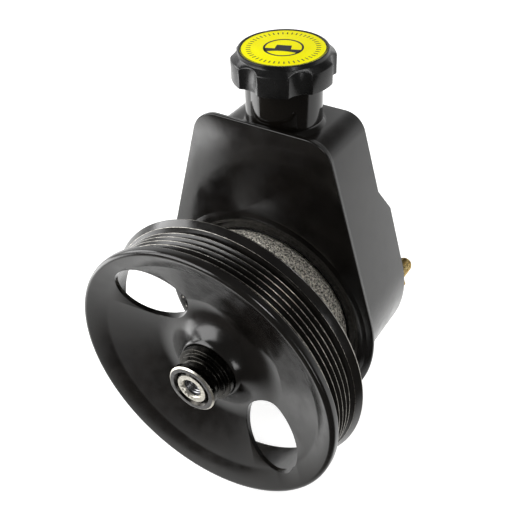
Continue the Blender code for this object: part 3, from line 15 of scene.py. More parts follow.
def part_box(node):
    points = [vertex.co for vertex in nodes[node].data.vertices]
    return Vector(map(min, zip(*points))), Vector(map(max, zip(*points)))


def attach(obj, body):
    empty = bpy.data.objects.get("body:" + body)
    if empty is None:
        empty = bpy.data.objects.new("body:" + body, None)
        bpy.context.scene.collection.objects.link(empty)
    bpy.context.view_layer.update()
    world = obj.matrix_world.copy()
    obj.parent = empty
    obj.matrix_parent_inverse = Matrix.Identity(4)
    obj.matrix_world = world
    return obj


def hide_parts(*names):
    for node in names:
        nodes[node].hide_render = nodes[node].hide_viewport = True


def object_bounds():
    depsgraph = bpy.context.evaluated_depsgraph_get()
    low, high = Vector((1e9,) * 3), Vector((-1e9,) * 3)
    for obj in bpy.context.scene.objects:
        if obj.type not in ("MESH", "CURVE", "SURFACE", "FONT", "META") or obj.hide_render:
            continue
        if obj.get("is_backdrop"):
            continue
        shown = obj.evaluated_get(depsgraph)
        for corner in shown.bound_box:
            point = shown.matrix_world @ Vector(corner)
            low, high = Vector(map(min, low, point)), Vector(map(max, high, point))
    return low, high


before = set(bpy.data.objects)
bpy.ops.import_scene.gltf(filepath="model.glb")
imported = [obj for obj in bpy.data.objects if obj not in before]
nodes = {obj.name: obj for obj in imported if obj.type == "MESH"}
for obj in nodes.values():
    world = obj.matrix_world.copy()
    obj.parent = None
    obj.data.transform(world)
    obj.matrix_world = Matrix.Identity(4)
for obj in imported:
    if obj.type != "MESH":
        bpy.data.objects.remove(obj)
cad_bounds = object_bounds()
MM = 0.001


def add_object(name, data):
    """Put a new object with this data in the scene."""
    thing = bpy.data.objects.new(name, data)
    bpy.context.scene.collection.objects.link(thing)
    return thing


# %% [markdown]
# ## The camera
# The photograph looks down at the pulley's face from its right. A fit of the pulley's rim, the
# shaft's axis and the reservoir's edges gave the place and the three angles below. The camera is
# built from them directly, because its axes follow from two turns and a small roll.

# %% Camera
IMAGE_PIXELS = 515
FOCAL_PIXELS = 800.0
SENSOR_WIDTH = 36.0
CAMERA_PLACE = Vector((184.8, -264.0, 302.8)) * MM
CAMERA_AZIMUTH = radians(33.79)
CAMERA_ELEVATION = radians(38.30)
CAMERA_ROLL = radians(-2.33)

ahead = Vector((-sin(CAMERA_AZIMUTH) * cos(CAMERA_ELEVATION),
                cos(CAMERA_AZIMUTH) * cos(CAMERA_ELEVATION), -sin(CAMERA_ELEVATION)))
level = Vector((cos(CAMERA_AZIMUTH), sin(CAMERA_AZIMUTH), 0))
upward = level.cross(ahead)
right = level * cos(CAMERA_ROLL) + upward * sin(CAMERA_ROLL)
above = upward * cos(CAMERA_ROLL) - level * sin(CAMERA_ROLL)

camera_data = bpy.data.cameras.new("photo_camera")
camera_data.sensor_width = SENSOR_WIDTH
camera_data.lens = SENSOR_WIDTH * FOCAL_PIXELS / IMAGE_PIXELS
camera = add_object("photo_camera", camera_data)
axes = Matrix((right, above, -ahead)).transposed().to_4x4()
camera.matrix_world = Matrix.Translation(CAMERA_PLACE) @ axes
bpy.context.scene.camera = camera
bpy.context.scene.view_settings.view_transform = "Standard"
print("lens", round(camera_data.lens, 2), "mm")

# %% [markdown]
# ## A white studio
# The pump stands on a white table in a white room. The camera sees both as pure white through
# Light Path, while the light that falls on the pump stays plain, so a soft contact shadow is kept.
# Shader nodes are needed from here on, so the helpers that add them come first.

# %% Helpers for shader nodes


def set_inputs(owner, node, inputs):
    """Give a node's inputs constants or other nodes' outputs."""
    for socket, value in inputs.items():
        if isinstance(value, bpy.types.NodeSocket):
            owner.node_tree.links.new(value, node.inputs[socket])
        else:
            node.inputs[socket].default_value = value


def add_node(owner, kind, inputs, **settings):
    """Add a node to a material or world."""
    node = owner.node_tree.nodes.new(kind)
    for setting, value in settings.items():
        setattr(node, setting, value)
    set_inputs(owner, node, inputs)
    return node


def worked_out(owner, operation, first, second):
    """Result of one step of arithmetic."""
    return add_node(owner, "ShaderNodeMath", {0: first, 1: second}, operation=operation).outputs[0]


def mapped(owner, value, before, after, **settings):
    """A value stretched from one range to another."""
    node = add_node(owner, "ShaderNodeMapRange",
                    {"Value": value, "From Min": before[0], "From Max": before[1],
                     "To Min": after[0], "To Max": after[1]}, **settings)
    return node.outputs["Result"]


def blend_of(owner, factor, first, second):
    """Mix two plain (r, g, b) colours."""
    node = add_node(owner, "ShaderNodeMix", {0: factor, 6: (*first, 1.0), 7: (*second, 1.0)},
                    data_type="RGBA")
    return node.outputs[2]


def seen_directly(owner):
    """1 where a camera, glossy or transmission ray arrives, and 0 elsewhere."""
    rays = add_node(owner, "ShaderNodeLightPath", {}).outputs
    mirrored = worked_out(owner, "MAXIMUM", rays["Is Glossy Ray"], rays["Is Transmission Ray"])
    return worked_out(owner, "MAXIMUM", rays["Is Camera Ray"], mirrored)


# %% [markdown]
# Mirror-like paint shows the white table and room too. On the table's front, where the photographer
# stands, and towards the ceiling, both carry a painted dark reflection that glossy rays alone see;
# the camera sees them white. Its soft edge gives gloss black its depth.

# %% Painted dark reflection on the table and room


def painted_dark_reflection(owner, coordinates, side, fade_range, share):
    """0 for all but glossy rays, and for those the share of painted dark reflection."""
    place = add_node(owner, "ShaderNodeTexCoord", {}).outputs[coordinates]
    measure = add_node(owner, "ShaderNodeVectorMath", {0: place, 1: side}, operation="DOT_PRODUCT")
    fade = mapped(owner, measure.outputs["Value"], fade_range, (0, share),
                  interpolation_type="SMOOTHSTEP")
    glossy = add_node(owner, "ShaderNodeLightPath", {}).outputs["Is Glossy Ray"]
    return worked_out(owner, "MULTIPLY", fade, glossy)


# %% Table
TABLE_HALF_WIDTH = 3.0
TABLE_COLOUR = (0.75, 0.75, 0.74)
TABLE_GLOW = 0.72
REFLECTED_DARK_COLOUR = (0.05, 0.045, 0.04)
TABLE_DARK_REFLECTION_SIDE = (0.5, -1.0, 0.0)
TABLE_FADE = (0.055, 0.125)
TABLE_DARK_REFLECTION_SHARE = 0.97

table_mesh = bpy.data.meshes.new("table")
corners = [(x * TABLE_HALF_WIDTH, y * TABLE_HALF_WIDTH, cad_bounds[0].z)
           for x, y in ((-1, -1), (1, -1), (1, 1), (-1, 1))]
table_mesh.from_pydata(corners, [], [(0, 1, 2, 3)])
add_object("table", table_mesh)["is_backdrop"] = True

white = bpy.data.materials.new("white_table")
white.use_nodes = True
table_mesh.materials.append(white)
# glossy rays alone see the table's front painted dark: a painted dark reflection
dark_in_reflection = painted_dark_reflection(white, "Object", TABLE_DARK_REFLECTION_SIDE, TABLE_FADE, TABLE_DARK_REFLECTION_SHARE)
colour = blend_of(white, dark_in_reflection, TABLE_COLOUR, REFLECTED_DARK_COLOUR)
shown = worked_out(white, "SUBTRACT", seen_directly(white), dark_in_reflection)
glow = worked_out(white, "MULTIPLY", shown, TABLE_GLOW)
set_inputs(white, white.node_tree.nodes["Principled BSDF"],
           {"Base Color": colour, "Roughness": 0.9, "Specular IOR Level": 0.0,
            "Emission Color": (1, 1, 1, 1), "Emission Strength": glow})
print("table at", round(cad_bounds[0].z / MM, 1), "mm")

# %% Room
ROOM_LIGHT = 0.38
ROOM_DARK_REFLECTION_SIDE = (0.3, -0.5, 1.2)
ROOM_FADE = (-0.2, 0.4)
ROOM_DARK_REFLECTION_SHARE = 1.45
darkest = 1 - ROOM_DARK_REFLECTION_SHARE
light_at_darkest = ROOM_LIGHT + darkest * (1 - ROOM_LIGHT)

world = bpy.data.worlds.new("white_room")
world.use_nodes = True
bpy.context.scene.world = world
# glossy rays alone see the room painted dark towards the ceiling: a painted dark reflection
dark_in_reflection = painted_dark_reflection(world, "Generated", ROOM_DARK_REFLECTION_SIDE, ROOM_FADE, ROOM_DARK_REFLECTION_SHARE)
shown = worked_out(world, "SUBTRACT", seen_directly(world), dark_in_reflection)
brightness = mapped(world, shown, (darkest, 1), (light_at_darkest, 1))
set_inputs(world, world.node_tree.nodes["Background"],
           {"Strength": brightness, "Color": (1, 1, 1, 1)})
print("room lights the pump at", ROOM_LIGHT)

# %% [markdown]
# ## Lamps
# Gloss black shows little but what it mirrors, so each lamp is a soft box whose edges draw the
# long highlights. The broad one stands at the front left and reaches down to the table. One stands
# at the left for the tops of the flange and lip, one hangs at the top right for the rough
# casting, a strip at the front right draws the plate's edge, and a small light panel stands by the
# table's left side, where the web and rim mirror it.

# %% Soft boxes
# name: place, width and height in metres, and brightness of its face in watts per square metre
LAMPS = {
    "key": ((-0.66, -0.80, 0.50), 0.80, 0.80, 16.0),
    "left": ((-0.95, -0.10, 0.42), 0.50, 0.50, 18.0),
    "top_right": ((0.52, 0.02, 0.86), 0.26, 0.26, 34.0),
    "edge": ((0.85, -0.55, 0.10), 0.12, 0.50, 20.0),
    "panel": ((-0.30, -0.13, -0.03), 0.22, 0.12, 12.0),
}
aim = Vector((0, 0.01, 0.03))
for name, (place, width, height, brightness) in LAMPS.items():
    lamp_data = bpy.data.lights.new(name, "AREA")
    lamp_data.shape = "RECTANGLE"
    lamp_data.size = width
    lamp_data.size_y = height
    lamp_data.energy = brightness * width * height
    lamp = add_object(name, lamp_data)
    lamp.location = place
    lamp.rotation_euler = (aim - Vector(place)).to_track_quat("-Z", "Y").to_euler()
print(len(LAMPS), "soft boxes")

# %% [markdown]
# ## Finishes
# Every finish here is a surface that varies a little: paint has orange peel and faint smudges,
# castings are grainy, plating is patchy. The casting's light speckles are partly its grain and partly
# painted glints of light on the rough skin. One recipe covers them: noise blends two colours and two
# roughness values in patches, and a finer noise raises a grain. The numbers in the table say how
# big the patches and grains are on the real piece, in millimetres.

# %% One recipe for all finishes
NOISE_MIDDLE = (0.35, 0.65)
GLOSS_PATCH_SHARE = 0.4


def place_on_piece(finish):
    """Coordinates that stay with the piece, in metres."""
    return add_node(finish, "ShaderNodeTexCoord", {}).outputs["Object"]


def noise_of(finish, size, detail=3.0):
    """Noise whose blots are about this many millimetres wide."""
    texture = add_node(finish, "ShaderNodeTexNoise",
                       {"Vector": place_on_piece(finish), "Scale": 1 / (size * MM), "Detail": detail})
    return texture.outputs["Fac"]


def raise_grain(finish, height, depth):
    """Add a bump whose height is scaled to depth millimetres, over any bump already there."""
    bump = add_node(finish, "ShaderNodeBump",
                    {"Height": height, "Distance": depth * MM, "Strength": 1.0})
    shader = finish.node_tree.nodes["Principled BSDF"]
    if shader.inputs["Normal"].is_linked:
        finish.node_tree.links.new(shader.inputs["Normal"].links[0].from_socket, bump.inputs["Normal"])
    finish.node_tree.links.new(bump.outputs["Normal"], shader.inputs["Normal"])


def surface(name, dark, light, patch, smooth, rough, metallic, shine, grain, depth):
    """Material that varies in patches between two colours and two roughness values."""
    finish = bpy.data.materials.new(name)
    finish.use_nodes = True
    patches = mapped(finish, noise_of(finish, patch), NOISE_MIDDLE, (0, 1))
    gloss_patches = noise_of(finish, patch * GLOSS_PATCH_SHARE)
    set_inputs(finish, finish.node_tree.nodes["Principled BSDF"],
               {"Base Color": blend_of(finish, patches, dark, light),
                "Roughness": mapped(finish, gloss_patches, NOISE_MIDDLE, (smooth, rough)),
                "Metallic": metallic, "Specular IOR Level": shine})
    raise_grain(finish, noise_of(finish, grain, 2.0), depth)
    return finish


# name: dark colour, light colour, patch in mm, smoothest, roughest, metallic, shine,
#       grain in mm, grain depth in mm
RECIPES = {
    "gloss_paint": ((0.003, 0.0025, 0.002), (0.006, 0.005, 0.004), 22, 0.06, 0.12, 0.0, 0.45, 2.4, 0.006),
    "satin_paint": ((0.004, 0.0035, 0.003), (0.008, 0.007, 0.006), 18, 0.15, 0.24, 0.0, 0.50, 1.6, 0.008),
    # the casting's light speckles: partly grain, partly painted glints of light on the rough skin
    "cast_grain_and_glint": ((0.010, 0.009, 0.007), (0.85, 0.80, 0.70), 1.0, 0.28, 0.48, 0.55, 0.90, 1.0, 1.7),
    "moulded_plastic": ((0.005, 0.005, 0.005), (0.010, 0.010, 0.010), 9, 0.20, 0.30, 0.0, 0.34, 0.8, 0.010),
    # lighter steel for the pulley's edges: partly worn bare metal, partly a painted highlight
    "wear_and_highlight_steel": ((0.20, 0.19, 0.17), (0.46, 0.44, 0.40), 3, 0.24, 0.36, 1.0, 0.5, 0.6, 0.006),
    "oiled_steel": ((0.020, 0.019, 0.017), (0.050, 0.047, 0.042), 5, 0.20, 0.32, 1.0, 0.5, 0.7, 0.006),
    "satin_steel": ((0.11, 0.11, 0.11), (0.19, 0.185, 0.18), 3, 0.34, 0.46, 1.0, 0.5, 0.4, 0.004),
    "ground_steel": ((0.60, 0.57, 0.50), (0.78, 0.75, 0.67), 4, 0.26, 0.40, 1.0, 0.5, 0.5, 0.003),
    "spring_steel": ((0.22, 0.22, 0.23), (0.36, 0.36, 0.37), 4, 0.20, 0.34, 1.0, 0.5, 0.5, 0.004),
    "yellow_zinc": ((0.46, 0.30, 0.10), (0.62, 0.50, 0.24), 3, 0.24, 0.40, 1.0, 0.5, 0.6, 0.005),
    "bearing_bronze": ((0.42, 0.26, 0.10), (0.55, 0.36, 0.16), 3, 0.30, 0.45, 1.0, 0.5, 0.5, 0.010),
    "seal_rubber": ((0.010, 0.010, 0.010), (0.018, 0.018, 0.018), 4, 0.60, 0.80, 0.0, 0.4, 0.6, 0.015),
    "sintered_magnet": ((0.07, 0.07, 0.075), (0.12, 0.12, 0.125), 2, 0.45, 0.60, 0.7, 0.5, 0.6, 0.015),
    "label_yellow": ((0.93, 0.86, 0.001), (0.98, 0.93, 0.001), 12, 0.38, 0.48, 0.0, 0.05, 0.8, 0.003),
    "label_ink": ((0.010, 0.010, 0.012), (0.020, 0.018, 0.026), 5, 0.34, 0.44, 0.0, 0.15, 0.5, 0.004),
}
FINISH = {name: surface(name, *values) for name, values in RECIPES.items()}
print(len(FINISH), "finishes")

# %% [markdown]
# Turned steel carries fine circles from the tool. A wave texture in rings about the shaft's axis,
# a quarter of a millimetre apart, adds them to the bump of the hub's and the shaft's finishes.

# %% Tool marks on turned steel
TOOL_MARK_SPACING = 0.25
TOOL_MARK_DEPTH = 0.003
PHASE_PER_METRE = 20  # the wave texture multiplies a distance by this
for name in ("oiled_steel", "satin_steel", "ground_steel"):
    finish = FINISH[name]
    scale = 2 * pi / (PHASE_PER_METRE * TOOL_MARK_SPACING * MM)
    rings = add_node(finish, "ShaderNodeTexWave", {"Vector": place_on_piece(finish), "Scale": scale},
                     wave_type="RINGS", rings_direction="Y")
    raise_grain(finish, rings.outputs["Fac"], TOOL_MARK_DEPTH)
print("tool marks every", TOOL_MARK_SPACING, "mm")

# %% [markdown]
# ## Helpers for shapes
# Most pieces are turned or pressed, so they start as a flat profile. Writing each corner with its
# own rounding gives the small edges that catch light on real metal, without a modifier.

# %% Rounded corners
ARC_STEP = 1.2 * MM
STRAIGHT = radians(179)
SIDE_SHARE = 0.48


def rounded(corners):
    """Replace each (u, v, rounding) corner by an arc that touches both of its sides.

    The places are in metres like everything here, and the rounding is in millimetres.
    """
    outline = []
    for i, (u, v, rounding) in enumerate(corners):
        here = Vector((u, v))
        back = Vector(corners[i - 1][:2]) - here
        onward = Vector(corners[(i + 1) % len(corners)][:2]) - here
        sharp = rounding == 0 or back.length == 0 or onward.length == 0
        if sharp or back.angle(onward) > STRAIGHT:
            outline.append(here)
            continue
        half = back.angle(onward) / 2
        reach = min(rounding * MM / tan(half), SIDE_SHARE * back.length, SIDE_SHARE * onward.length)
        start = here + back.normalized() * reach
        end = here + onward.normalized() * reach
        bisector = (back.normalized() + onward.normalized()).normalized()
        centre = here + bisector * (reach / cos(half))
        radius = reach * tan(half)
        steps = max(4, int(radius * (pi - 2 * half) / ARC_STEP))
        for step in range(steps + 1):
            spoke = start.lerp(end, step / steps) - centre
            outline.append(centre + spoke.normalized() * radius)
    return outline


# %% [markdown]
# Pieces are made by turning a profile, by pressing a flat outline or by cutting one piece with
# another, and all get the same cleaning and shading.

# %% Making pieces
SHARP_ANGLE = 32
SAME_PLACE = 2e-6


def shade(mesh, sharp_angle=SHARP_ANGLE):
    """Shade a mesh smooth, with sharp edges above an angle in degrees."""
    mesh.shade_smooth()
    mesh.set_sharp_from_angle(angle=radians(sharp_angle))


def finished(name, shape, sharp_angle=SHARP_ANGLE):
    """Clean a bmesh, shade it and add it to the scene."""
    bmesh.ops.remove_doubles(shape, verts=shape.verts, dist=SAME_PLACE)
    bmesh.ops.recalc_face_normals(shape, faces=shape.faces)
    mesh = bpy.data.meshes.new(name)
    shape.to_mesh(mesh)
    shape.free()
    shade(mesh, sharp_angle)
    return add_object(name, mesh)


def skin(shape, rows):
    """Faces between rows of points, each of which closes on itself."""
    for near, far in zip(rows, rows[1:]):
        for i in range(len(near)):
            k = (i + 1) % len(near)
            shape.faces.new((near[i], near[k], far[k], far[i]))


def turned(name, corners, steps, along="Y", centre=(0.0, 0.0)):
    """Turn a closed profile of (radius, place, rounding) corners about an axis."""
    outline = rounded(corners)
    shape = bmesh.new()
    rings = []
    for step in range(steps):
        angle = 2 * pi * step / steps
        ring = []
        for radius, place in outline:
            u = centre[0] + radius * cos(angle)
            v = centre[1] + radius * sin(angle)
            ring.append(shape.verts.new((u, place, v) if along == "Y" else (u, v, place)))
        rings.append(ring)
    skin(shape, rings + rings[:1])
    return finished(name, shape)


def sleeve(inner, outer, low, high, low_edge=0, high_edge=0):
    """Profile of a plain ring or, with no inner radius, of a rod."""
    return [(inner, low, 0), (outer, low, low_edge), (outer, high, high_edge), (inner, high, 0)]


def arc(centre, radius, start, end, steps):
    """Points on an arc, both ends included."""
    points = []
    for step in range(steps + 1):
        angle = start + (end - start) / steps * step
        points.append((centre[0] + radius * cos(angle), centre[1] + radius * sin(angle)))
    return points


def unrounded(points):
    """Profile corners that are already as round as they should be."""
    return [(u, v, 0) for u, v in points]


def spun(points, angle):
    """Flat points turned about the origin."""
    return [(u * cos(angle) - v * sin(angle), u * sin(angle) + v * cos(angle)) for u, v in points]


def rectangle(left, right, low, high):
    """Corners of a rectangle, in order."""
    return [(left, low), (right, low), (right, high), (left, high)]


def mesh_of(thing):
    """The mesh that an object shows, its modifiers included."""
    graph = bpy.context.evaluated_depsgraph_get()
    return bpy.data.meshes.new_from_object(thing.evaluated_get(graph))


def pressed(name, loops, low, high, edge, along="Y"):
    """Flat sheet between two planes, from outlines drawn across the axis, with round edges."""
    curve = bpy.data.curves.new(name, "CURVE")
    curve.dimensions = "2D"
    curve.fill_mode = "BOTH"
    curve.extrude = (high - low) / 2 - edge
    curve.bevel_depth = edge
    curve.bevel_resolution = 2
    curve.offset = -edge
    for loop in loops:
        spline = curve.splines.new("POLY")
        spline.points.add(len(loop) - 1)
        for point, (u, v) in zip(spline.points, loop):
            point.co = (u, v, 0, 1)
        spline.use_cyclic_u = True
    guide = add_object(name + "_guide", curve)
    mesh = mesh_of(guide)
    bpy.data.objects.remove(guide, do_unlink=True)
    middle = (low + high) / 2
    if along == "Y":
        mesh.transform(Matrix.Translation((0, middle, 0)) @ Matrix.Rotation(pi / 2, 4, "X"))
    else:
        mesh.transform(Matrix.Translation((0, 0, middle)))
    shape = bmesh.new()
    shape.from_mesh(mesh)
    return finished(name, shape)


def settle(piece):
    """Turn a piece's modifiers into its mesh."""
    mesh = mesh_of(piece)
    piece.modifiers.clear()
    piece.data = mesh
    shade(mesh)


def combine(piece, tool, operation="DIFFERENCE"):
    """Cut, join or intersect a piece with a tool piece that isn't needed afterwards."""
    modifier = piece.modifiers.new("combine", "BOOLEAN")
    modifier.operation = operation
    modifier.solver = "EXACT"
    modifier.object = tool
    settle(piece)
    bpy.data.objects.remove(tool, do_unlink=True)


def packed_copy(node, name):
    """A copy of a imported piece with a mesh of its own, to be refined."""
    piece = nodes[node].copy()
    piece.data = nodes[node].data.copy()
    piece.name = name
    piece.parent = None
    bpy.context.scene.collection.objects.link(piece)
    return piece


def dress(piece, finish, slot, body, *replaced):
    """Give a piece its finish, set it on its body and hide what it stands for."""
    piece.data.materials.clear()
    piece.data.materials.append(FINISH[finish])
    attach(piece, body)
    if replaced:
        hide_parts(*replaced)
    print(piece.name, len(piece.data.polygons), "faces,", finish, "on", body)


# %% [markdown]
# ## Pulley
# The pulley is pressed from one sheet: a rolled rim with six belt grooves between two lips, a web
# that falls back towards the pump like a shallow cone, and a collar on the hub that flares into
# the web like a bell. It is turned from one closed profile, so every groove and lip gets its
# rounding, and the two openings are cut through the web afterwards.

# %% Pulley sizes
pulley_low, pulley_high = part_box("pulley")
LIP_FRONT = pulley_low.y
RIM_REAR = pulley_high.y
FLANGE_RADIUS = pulley_high.x
FLANGE_STEP = FLANGE_RADIUS - 2.5 * MM
RIB_PITCH = 3.56 * MM
RIB_COUNT = 6
CREST_RADIUS = 74.68 * MM
GROOVE_FLOOR = CREST_RADIUS - 3.0 * MM
CREST_HALF = 0.2 * MM
LIP_RADIUS = 77.9 * MM
SHEET = 2.2 * MM
RIM_INSIDE = GROOVE_FLOOR - SHEET
WEB_RADIUS = RIM_INSIDE - 1.6 * MM
WEB_SLOPE = 0.4
WEB_OUTER = LIP_FRONT + 4.96 * MM
WEB_INNER_RADIUS = 30.0 * MM
WEB_INNER = WEB_OUTER + WEB_SLOPE * (WEB_RADIUS - WEB_INNER_RADIUS)
COLLAR_RADIUS = 17.8 * MM
COLLAR_BORE = 16.6 * MM
COLLAR_FRONT = WEB_INNER - 12.0 * MM
BELL_TILT = radians(28.0)
collar_foot = WEB_INNER + WEB_SLOPE * (WEB_INNER_RADIUS - COLLAR_RADIUS)
collar_rear = collar_foot + 1.2 * MM
REAR_CREST = RIM_REAR - 4.2 * MM
FRONT_CREST = REAR_CREST - RIB_PITCH * (RIB_COUNT - 1)
LIP_REAR = FRONT_CREST - RIB_PITCH + CREST_HALF
LIP_ROLL = 2.1 * MM
DISH_KNEE_RADIUS = 66.0 * MM
dish_knee = WEB_OUTER + WEB_SLOPE * (WEB_RADIUS - DISH_KNEE_RADIUS)
print("web from", round(WEB_OUTER / MM, 1), "to", round(WEB_INNER / MM, 1), "mm")

# %% Pulley profile
# the bell starts at the collar's front and ends where it touches the cone of the web
bell_share = hypot(1, WEB_SLOPE) + WEB_SLOPE * cos(BELL_TILT) - sin(BELL_TILT)
bell_radius = (collar_foot - COLLAR_FRONT) / bell_share
bell_centre = (COLLAR_RADIUS + bell_radius * cos(BELL_TILT),
               COLLAR_FRONT - bell_radius * sin(BELL_TILT))
bell = arc(bell_centre, bell_radius, pi - BELL_TILT - 0.05, pi / 2 - atan2(WEB_SLOPE, 1), 24)
roll_centre = (LIP_RADIUS - LIP_ROLL, LIP_FRONT + LIP_ROLL)
profile = [(DISH_KNEE_RADIUS, dish_knee, 12.0)]
profile += unrounded(arc(roll_centre, LIP_ROLL, -pi / 2 - 0.3, 0, 8))
profile.append((LIP_RADIUS, LIP_REAR, 0.3))
for rib in range(RIB_COUNT):
    crest = FRONT_CREST + RIB_PITCH * rib
    profile.append((GROOVE_FLOOR, crest - RIB_PITCH / 2, 0.3))
    front_radius = CREST_RADIUS if rib < RIB_COUNT - 1 else FLANGE_STEP
    profile.append((front_radius, crest - CREST_HALF, 0.3))
    if rib < RIB_COUNT - 1:
        profile.append((CREST_RADIUS, crest + CREST_HALF, 0.3))
profile += [(FLANGE_RADIUS, RIM_REAR - 0.8 * MM, 0.5),
            (FLANGE_RADIUS - 0.5 * MM, RIM_REAR, 0.4),
            (RIM_INSIDE + 4.4 * MM, RIM_REAR, 1.2), (RIM_INSIDE, RIM_REAR - 3.6 * MM, 2.0),
            (RIM_INSIDE, WEB_OUTER + SHEET + 1.6 * MM, 2.0),
            (WEB_RADIUS, WEB_OUTER + SHEET, 2.0), (24.0 * MM, collar_rear, 3.0),
            (COLLAR_BORE, collar_rear, 0.4), (COLLAR_BORE, COLLAR_FRONT, 0.3),
            (COLLAR_RADIUS - 0.4 * MM, COLLAR_FRONT, 0.1)]
profile += unrounded(bell)
pulley = turned("belt_pulley", profile, 216)
print(len(pulley.data.polygons), "faces before the openings are cut")

# %% [markdown]
# ## Openings in the web
# Round holes are punched while the sheet is still flat, and drawing the web stretches them, so
# each opening is a slightly long ellipse. The cut edges of pressed sheet are a little round, so
# after the cut every sharp edge in the web is bevelled. Those thin edges are bright lines in the
# photograph.

# %% Cut the openings
WINDOW_ANGLE = radians(-44.0)
WINDOW_DISTANCE = 49.2 * MM
WINDOW_HALF_LENGTH = 19.5 * MM
WINDOW_HALF_WIDTH = 17.9 * MM
WINDOW_POINTS = 88
WINDOW_EDGE = 0.4 * MM
window_inside = WINDOW_DISTANCE - WINDOW_HALF_LENGTH - WINDOW_EDGE


def window_outline(axis):
    """Ellipse about a radial line."""
    points = []
    for step in range(WINDOW_POINTS):
        angle = 2 * pi * step / WINDOW_POINTS
        u = WINDOW_DISTANCE + WINDOW_HALF_LENGTH * cos(angle)
        points.append((u, WINDOW_HALF_WIDTH * sin(angle)))
    return spun(points, axis)


for turn in (0, pi):
    outline = window_outline(WINDOW_ANGLE + turn)
    combine(pulley, pressed("opening", [outline], LIP_FRONT - 5 * MM, RIM_REAR + 5 * MM, 0))

shape = bmesh.new()
shape.from_mesh(pulley.data)
rims = []
for edge in shape.edges:
    middle = (edge.verts[0].co + edge.verts[1].co) / 2
    in_web = window_inside < hypot(middle.x, middle.z) < RIM_INSIDE
    if in_web and len(edge.link_faces) == 2 and edge.calc_face_angle() > radians(50):
        rims.append(edge)
bmesh.ops.bevel(shape, geom=rims, offset=WINDOW_EDGE, segments=3, profile=0.5,
                affect="EDGES", clamp_overlap=True)
shape.to_mesh(pulley.data)
shape.free()
shade(pulley.data, 40)
dress(pulley, "satin_paint", "paint_black", "shaft_and_pulley", "pulley")

# %% [markdown]
# Bare, lighter steel is painted on the crests, the lips, the rear step and the flange's edge. It
# stands partly for paint rubbed off by the belt and by handling, and partly for a painted highlight:
# the thin bright lines that light draws along these edges. Those faces are picked by their distance
# from the axis.

# %% Worn crests with painted highlight lines
CREST_BAND = 0.12 * MM
# lighter bare steel on the edges: partly wear, partly a painted highlight
pulley.data.materials.append(FINISH["wear_and_highlight_steel"])
worn_and_lit = 0
for face in pulley.data.polygons:
    distance = hypot(face.center.x, face.center.z)
    on_crest = -CREST_BAND < distance - CREST_RADIUS < 2 * CREST_BAND and face.center.y > LIP_REAR
    on_lip = distance > LIP_RADIUS - 2 * CREST_BAND and abs(face.center.y - LIP_REAR) < 0.5 * MM
    on_rear_crest = abs(face.center.y - REAR_CREST) < 2 * CREST_HALF
    on_step = on_rear_crest and abs(distance - FLANGE_STEP) < 0.3 * MM
    on_flange = distance > FLANGE_RADIUS - 0.3 * MM and face.center.y > RIM_REAR - 0.9 * MM
    if on_crest or on_lip or on_step or on_flange:
        face.material_index = 1
        worn_and_lit += 1
print(worn_and_lit, "worn faces")

# %% [markdown]
# ## Hub and shaft end
# The hub is turned steel with an oily dark skin and a lighter end face, with a groove behind its
# end flange for a puller's jaws. The shaft shows as a bright ring inside it, round a threaded
# hole. Turning the hub from its profile gives the chamfers that shine in the photograph.

# %% Hub
hub_low, hub_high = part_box("pulley_hub")
shaft_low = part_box("drive_shaft")[0]
HUB_FRONT = hub_low.y
HUB_REAR = hub_high.y
HUB_BORE = 9.8 * MM
HUB_MOUTH = 10.9 * MM
HUB_FLANGE = 13.9 * MM
HUB_CHAMFER = 0.8 * MM
GROOVE_RADIUS = 11.3 * MM
STEP_RADIUS = 14.0 * MM
HUB_BODY = 16.3 * MM
groove_front = HUB_FRONT + 3.6 * MM
groove_rear = groove_front + 5.4 * MM
step_rear = groove_rear + 2.6 * MM
shoulder = HUB_REAR - 4.0 * MM
profile = [(10.3 * MM, HUB_FRONT + 0.9 * MM, 0), (HUB_MOUTH, HUB_FRONT, 0.1),
           (HUB_FLANGE - HUB_CHAMFER, HUB_FRONT, 0.15),
           (HUB_FLANGE, HUB_FRONT + HUB_CHAMFER, 0.15), (HUB_FLANGE, groove_front, 0.4),
           (GROOVE_RADIUS + 0.7 * MM, groove_front, 0.3),
           (GROOVE_RADIUS, groove_front + 0.8 * MM, 0.6), (GROOVE_RADIUS, groove_rear, 0.8),
           (STEP_RADIUS, groove_rear, 0.4), (STEP_RADIUS, step_rear, 0.3),
           (HUB_BODY, step_rear, 0.6), (HUB_BODY, shoulder, 0),
           (hub_high.x, shoulder, 0.3), (hub_high.x, HUB_REAR, 0.5),
           (HUB_BORE, HUB_REAR, 0.3), (HUB_BORE, HUB_FRONT + 1.5 * MM, 0.2)]
hub = turned("hub", profile, 128)
dress(hub, "oiled_steel", "steel_dark", "shaft_and_pulley", "pulley_hub")
hub.data.materials.append(FINISH["satin_steel"])
hub.data.materials.append(FINISH["ground_steel"])
for face in hub.data.polygons:
    on_chamfer = HUB_FRONT < face.center.y < HUB_FRONT + HUB_CHAMFER
    distance = hypot(face.center.x, face.center.z)
    if on_chamfer and distance > HUB_MOUTH + HUB_CHAMFER:
        face.material_index = 2
    elif face.center.y < HUB_FRONT + 0.3 * MM and distance > HUB_MOUTH:
        face.material_index = 1

# %% [markdown]
# A thread is a ridge that climbs as it goes round. A grid of points does this directly: at each
# angle and height the radius follows a triangle wave whose phase turns with the angle. The same
# helper makes the thread in the shaft's end and on the two rear studs.

# %% Threads
FLANK_SLOPE = 1.4  # above 1, so the triangle wave has flat roots and crests


